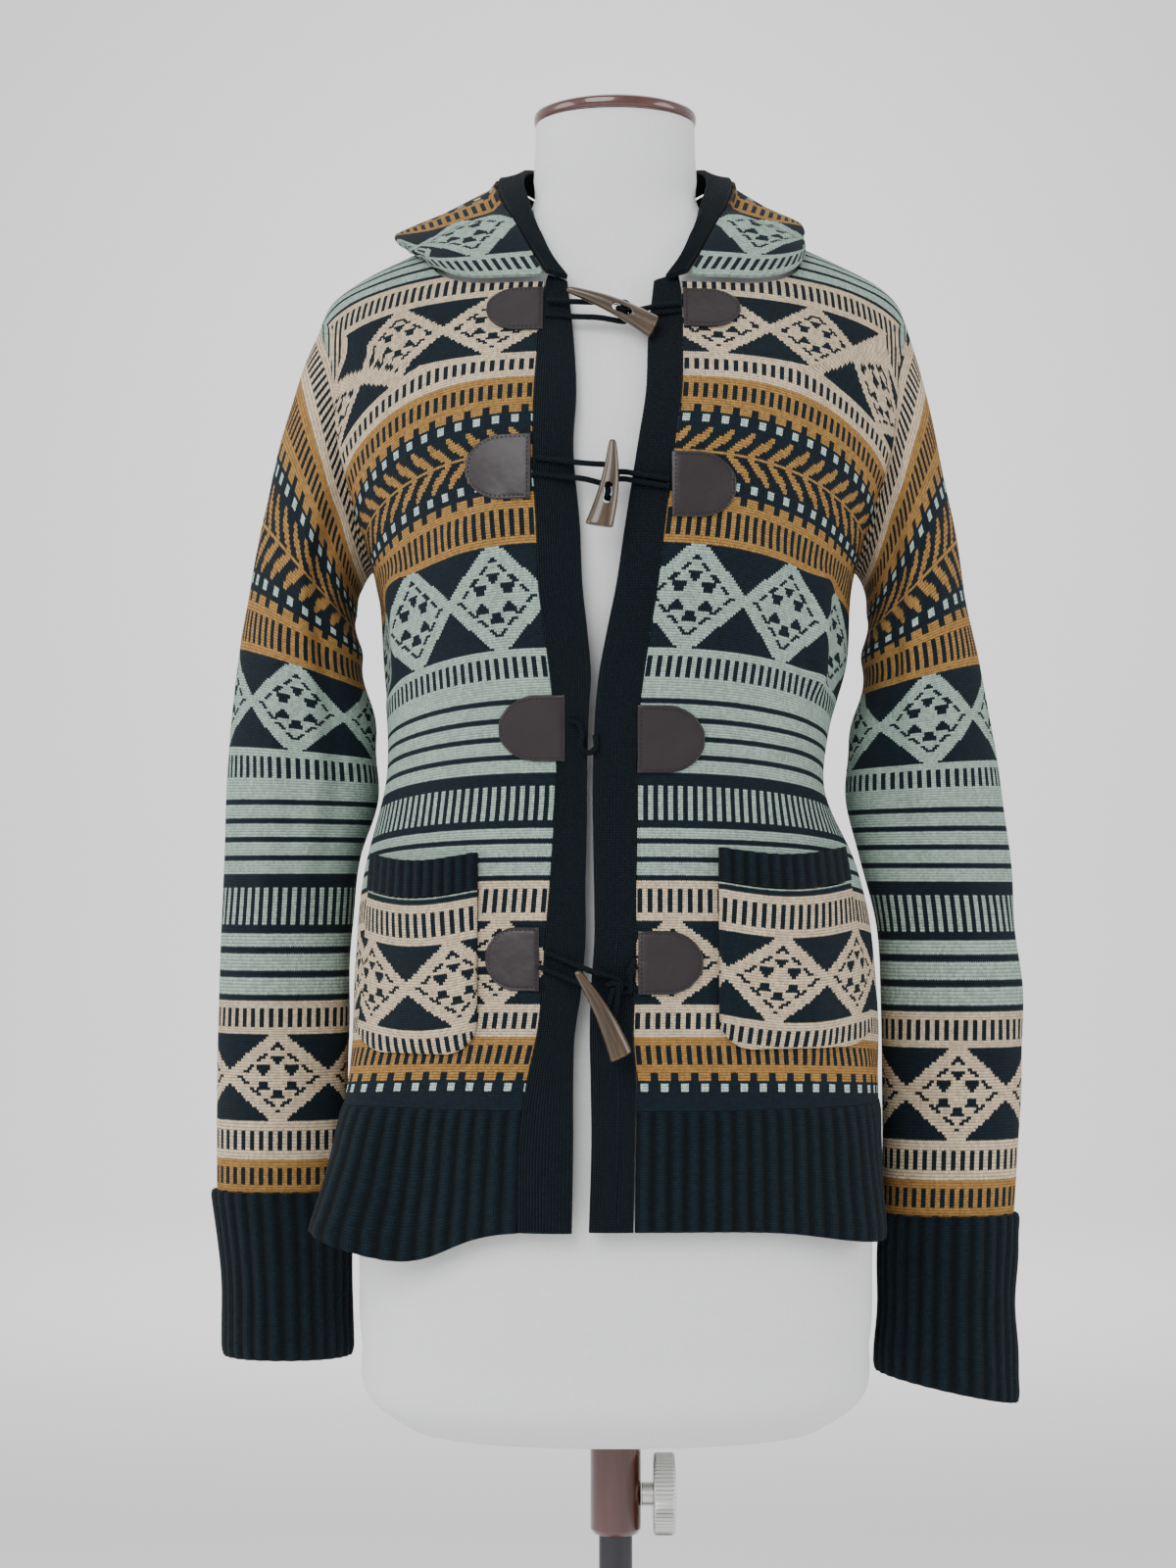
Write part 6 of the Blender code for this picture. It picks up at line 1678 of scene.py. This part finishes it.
def floor_finish(g, scene):
    """Pale backdrop paper, a little uneven."""
    here = g.node("TexCoord").outputs["Object"]
    tone = g.math("MULTIPLY_ADD", g.noise(here, 3.0, 3.0), 0.02, 0.98)
    g.surface(Base_Color=g.dimmed((*scene.cardigan_stage.backdrop, 1.0), tone), Roughness=0.9)


FINISHES = {
    "knit": (knit_finish,),
    "rib": (rib_finish, 4.0, 0.72),
    "fine_rib": (rib_finish, 1.0, 0.72),
    "leather": (leather_finish,),
    "horn": (horn_finish,),
    "cord": (cord_finish,),
    "thread": (thread_finish,),
    "linen": (linen_finish,),
    "wood": (wood_finish,),
    "steel": (metal_finish, (0.60, 0.60, 0.57), 0.22),
    "dark_metal": (metal_finish, (0.06, 0.06, 0.065), 0.30),
    "floor": (floor_finish,),
}


def finish(kind):
    """The material of a kind, made when it is first wanted."""
    name = "cardigan_" + kind
    if name not in bpy.data.materials:
        made = bpy.data.materials.new(name)
        made.use_nodes = True
        make, *values = FINISHES[kind]
        make(Graph(made.node_tree), bpy.context.scene, *values)
    return bpy.data.materials[name]


class CardiganKnit(bpy.types.PropertyGroup):
    """Sizes and yarns of the knitted cloth."""

    rib: FloatProperty(name="Rib height", description="How far the hem's and cuffs' ribs stand out",
                       default=RIB_RISE, min=0.0, max=0.003, unit="LENGTH")
    fine_rib: FloatProperty(name="Fine rib height", description="How far the bands' ribs stand out",
                            default=0.0008, min=0.0, max=0.002, unit="LENGTH")
    folds: FloatProperty(name="Folds", description="Depth of the soft folds, as a share of the usual depth",
                         default=1.3, min=0.0, max=1.5, subtype="FACTOR")
    unevenness: FloatProperty(name="Unevenness", description="How far stitches stray from their rows",
                              default=0.35, min=0.0, max=1.0, subtype="FACTOR")
    gap: FloatProperty(name="Gap shade", description="Brightness between the strands",
                       default=0.10, min=0.0, max=1.0, subtype="FACTOR")
    dark: FloatVectorProperty(name="Dark yarn", description="Navy green ground", size=3, subtype="COLOR",
                              default=(0.0058, 0.0160, 0.0250), min=0.0, max=1.0)
    sage: FloatVectorProperty(name="Sage yarn", description="Grey green stripes and diamonds", size=3,
                              subtype="COLOR", default=(0.45, 0.60, 0.52), min=0.0, max=1.0)
    cream: FloatVectorProperty(name="Cream yarn", description="Warm pale bands", size=3, subtype="COLOR",
                               default=(0.82, 0.66, 0.46), min=0.0, max=1.0)
    ochre: FloatVectorProperty(name="Ochre yarn", description="Brown gold bands", size=3, subtype="COLOR",
                               default=(0.46, 0.25, 0.072), min=0.0, max=1.0)
    pale: FloatVectorProperty(name="Pale yarn", description="Small pale squares", size=3, subtype="COLOR",
                              default=(0.58, 0.76, 0.71), min=0.0, max=1.0)


class CardiganTrim(bpy.types.PropertyGroup):
    """Leather, horn and cord."""

    stitch_inset: FloatProperty(name="Seam inset", description="From a patch's edge to its seam",
                                default=0.0019, min=0.001, max=0.004, unit="LENGTH")
    stitch_pitch: FloatProperty(name="Seam pitch", description="From one thread to the next",
                                default=0.0026, min=0.0015, max=0.006, unit="LENGTH")
    thread: FloatProperty(name="Thread", description="Thickness of the seams' thread",
                          default=0.0008, min=0.0003, max=0.001, unit="LENGTH")
    leather: FloatVectorProperty(name="Leather", description="Darker tone of the patches", size=3,
                                 subtype="COLOR", default=(0.0125, 0.0090, 0.0100), min=0.0, max=1.0)
    horn: FloatVectorProperty(name="Horn", description="Honey tone of the toggles", size=3, subtype="COLOR",
                              default=(0.060, 0.036, 0.016), min=0.0, max=1.0)
    cord: FloatVectorProperty(name="Cord", description="Braided cord", size=3, subtype="COLOR",
                              default=(0.0035, 0.0065, 0.0095), min=0.0, max=1.0)
    seam: FloatVectorProperty(name="Thread colour", description="Thread of the patches' seams", size=3,
                              subtype="COLOR", default=(0.004, 0.003, 0.004), min=0.0, max=1.0)


class CardiganForm(bpy.types.PropertyGroup):
    """Dress form and stand."""

    thread_pitch: FloatProperty(name="Weave", description="From one linen thread to the next",
                                default=0.0011, min=0.0005, max=0.003, unit="LENGTH")
    linen: FloatVectorProperty(name="Linen", description="Cover of the torso", size=3, subtype="COLOR",
                               default=(0.76, 0.77, 0.77), min=0.0, max=1.0)
    wood: FloatVectorProperty(name="Wood", description="Neck cap and collar", size=3, subtype="COLOR",
                              default=(0.060, 0.010, 0.006), min=0.0, max=1.0)


class CardiganStage(bpy.types.PropertyGroup):
    """Backdrop and light."""

    backdrop: FloatVectorProperty(name="Backdrop", description="Paper behind and below", size=3,
                                  subtype="COLOR", default=(0.90, 0.90, 0.90), min=0.0, max=1.0)
    key: FloatProperty(name="Main light", description="Power of the large front light", default=72.0,
                       min=0.0, max=300.0, subtype="POWER", unit="POWER")
    fill: FloatProperty(name="Side light", description="Power of each side light", default=26.0,
                        min=0.0, max=300.0, subtype="POWER", unit="POWER")
    paper: FloatProperty(name="Backdrop light", description="Power of the light on the backdrop",
                         default=150.0, min=0.0, max=600.0, subtype="POWER", unit="POWER")
    sky: FloatProperty(name="Room light", description="Strength of the light from all round",
                       default=0.85, min=0.0, max=3.0)


class CARDIGAN_OT_cords(bpy.types.Operator):
    """Cord loops of the four fastenings"""

    bl_idname = "cardigan.cords"
    bl_label = "Cords"

    def execute(self, context):
        for name, points in fastening_routes()[0].items():
            made, path = tube(name, points, CORD_RADIUS, "cord")
            worn(made, name, "form")
        return {"FINISHED"}


class CARDIGAN_OT_toggles(bpy.types.Operator):
    """Horn toggles with their slots"""

    bl_idname = "cardigan.toggles"
    bl_label = "Toggles"

    def execute(self, context):
        for row, depth in fastening_routes()[1].items():
            toggle(row, depth)
        return {"FINISHED"}


class CARDIGAN_OT_patches(bpy.types.Operator):
    """Leather patches and their seams"""

    bl_idname = "cardigan.patches"
    bl_label = "Leather patches"

    def execute(self, context):
        trim = context.scene.cardigan_trim
        for name, edges in PATCHES.items():
            patch(name, *edges, trim, context.scene.cardigan_knit)
        return {"FINISHED"}


class CARDIGAN_OT_fronts(bpy.types.Operator):
    """Both fronts and the back"""

    bl_idname = "cardigan.fronts"
    bl_label = "Body"

    def execute(self, context):
        for side, sign in SIDES:
            fronts(side, sign, context.scene.cardigan_knit)
        back(context.scene.cardigan_knit)
        return {"FINISHED"}


class CARDIGAN_OT_bands(bpy.types.Operator):
    """Front bands and hem"""

    bl_idname = "cardigan.bands"
    bl_label = "Bands and hem"

    def execute(self, context):
        look = context.scene.cardigan_knit
        for side, sign in SIDES:
            band(side, sign, look)
        for name, values in HEMS.items():
            hem(name, *values, look)
        return {"FINISHED"}


class CARDIGAN_OT_sleeves(bpy.types.Operator):
    """Sleeves and cuffs"""

    bl_idname = "cardigan.sleeves"
    bl_label = "Sleeves and cuffs"

    def execute(self, context):
        look = context.scene.cardigan_knit
        sleeve("left", -1.0, LEFT_SLEEVE, look)
        sleeve("right", 1.0, RIGHT_SLEEVE, look)
        cuff("left", -1.0, LEFT_CUFF, look)
        cuff("right", 1.0, RIGHT_CUFF, look)
        return {"FINISHED"}


class CARDIGAN_OT_hood(bpy.types.Operator):
    """Hood and its band"""

    bl_idname = "cardigan.hood"
    bl_label = "Hood"

    def execute(self, context):
        look = context.scene.cardigan_knit
        for half in HOOD_HALVES:
            hood_half(*half, look)
        hood_band(look)
        return {"FINISHED"}


class CARDIGAN_OT_pockets(bpy.types.Operator):
    """Patch pockets with ribbed tops"""

    bl_idname = "cardigan.pockets"
    bl_label = "Pockets"

    def execute(self, context):
        for side, edges in POCKETS.items():
            pocket(side, edges, context.scene.cardigan_knit)
        return {"FINISHED"}


class CARDIGAN_OT_form(bpy.types.Operator):
    """Torso, neck cap, collar, knob, pole and base"""

    bl_idname = "cardigan.form"
    bl_label = "Dress form"

    def execute(self, context):
        torso(context.scene.cardigan_form)
        for name, (profile, kind, *more) in TURNED.items():
            turned(name, profile, kind, *more)
        return {"FINISHED"}


class CARDIGAN_OT_camera(bpy.types.Operator):
    """Camera at the photo's place"""

    bl_idname = "cardigan.camera"
    bl_label = "Camera"

    def execute(self, context):
        lens = bpy.data.cameras.new("camera")
        lens.sensor_fit = "VERTICAL"
        lens.sensor_height = 36.0
        lens.lens = 36.0 * PHOTO_FOCUS / PHOTO_HEIGHT
        camera = bpy.data.objects.new("camera", lens)
        camera.location = PHOTO_PLACE
        camera.rotation_euler = (0.5 * math.pi + math.atan(PHOTO_RISE / PHOTO_FOCUS), 0.0, 0.0)
        context.scene.collection.objects.link(camera)
        context.scene.camera = camera
        return {"FINISHED"}


class CARDIGAN_OT_stage(bpy.types.Operator):
    """Backdrop and lights"""

    bl_idname = "cardigan.stage"
    bl_label = "Stage"

    def execute(self, context):
        look = context.scene.cardigan_stage
        bend = np.linspace(0.0, 0.5 * math.pi, 24)
        curve = np.stack([BACKDROP_EDGE - BACKDROP_BEND * (1.0 - np.sin(bend)),
                          BACKDROP_BEND * (1.0 - np.cos(bend))], 1)
        profile = np.concatenate([[[-BACKDROP_EDGE, 0.0]], curve, [[BACKDROP_EDGE, BACKDROP_TOP]]])
        sides = np.array([-BACKDROP_EDGE, BACKDROP_EDGE])[None, :, None]
        sides = np.broadcast_to(sides, (len(profile), 2, 1))
        top = np.concatenate([sides, np.repeat(profile[:, None], 2, axis=1)], axis=-1)
        below = top - np.array([0.0, -BACKDROP_THICK, BACKDROP_THICK])
        paper = shell("backdrop", top, below, stitches(top[..., 0], top[..., 1]), "floor")
        for name, place, size, aimed_depth, power in LAMPS:
            lamp = bpy.data.lights.new(name, "AREA")
            lamp.shape, lamp.size, lamp.energy = "DISK", size, getattr(look, power)
            made = bpy.data.objects.new(name, lamp)
            made.location = place
            aim = np.array((0.0, aimed_depth, AIM_HEIGHT)) - np.array(place)
            tilt = math.acos(-aim[2] / np.linalg.norm(aim))
            made.rotation_euler = (tilt, 0.0, math.atan2(-aim[0], aim[1]))
            context.scene.collection.objects.link(made)
        world = bpy.data.worlds.new("room")
        world.use_nodes = True
        world.node_tree.nodes["Background"].inputs[0].default_value = (1.0, 1.0, 1.0, 1.0)
        world.node_tree.nodes["Background"].inputs[1].default_value = look.sky
        context.scene.world = world
        return {"FINISHED"}


class CARDIGAN_PT_panel(bpy.types.Panel):
    """Buttons and settings of the cardigan"""

    bl_idname = "CARDIGAN_PT_panel"
    bl_label = "Toggle cardigan"
    bl_space_type = "VIEW_3D"
    bl_region_type = "UI"
    bl_category = "Cardigan"

    def draw(self, context):
        for operator in OPERATORS:
            self.layout.operator(operator.bl_idname)
        for name, settings in SETTINGS.items():
            box = self.layout.box()
            box.label(text=settings.__doc__)
            for key in settings.__annotations__:
                box.prop(getattr(context.scene, name), key)


SETTINGS = {
    "cardigan_knit": CardiganKnit,
    "cardigan_trim": CardiganTrim,
    "cardigan_form": CardiganForm,
    "cardigan_stage": CardiganStage,
}
OPERATORS = (
    CARDIGAN_OT_camera, CARDIGAN_OT_cords, CARDIGAN_OT_fronts, CARDIGAN_OT_bands, CARDIGAN_OT_sleeves,
    CARDIGAN_OT_hood, CARDIGAN_OT_pockets, CARDIGAN_OT_patches, CARDIGAN_OT_toggles, CARDIGAN_OT_form,
    CARDIGAN_OT_stage,
)


def register():
    for made in (*SETTINGS.values(), *OPERATORS, CARDIGAN_PT_panel):
        bpy.utils.register_class(made)
    for name, settings in SETTINGS.items():
        setattr(bpy.types.Scene, name, bpy.props.PointerProperty(type=settings))


def unregister():
    for name in SETTINGS:
        delattr(bpy.types.Scene, name)
    for made in (CARDIGAN_PT_panel, *reversed(OPERATORS), *SETTINGS.values()):
        bpy.utils.unregister_class(made)


def main():
    """Build every piece in order."""
    register()
    for operator in OPERATORS:
        family, name = operator.bl_idname.split(".")
        if getattr(getattr(bpy.ops, family), name)() != {"FINISHED"}:
            raise RuntimeError("not finished: " + operator.bl_label)


if __name__ == "__main__":
    main()
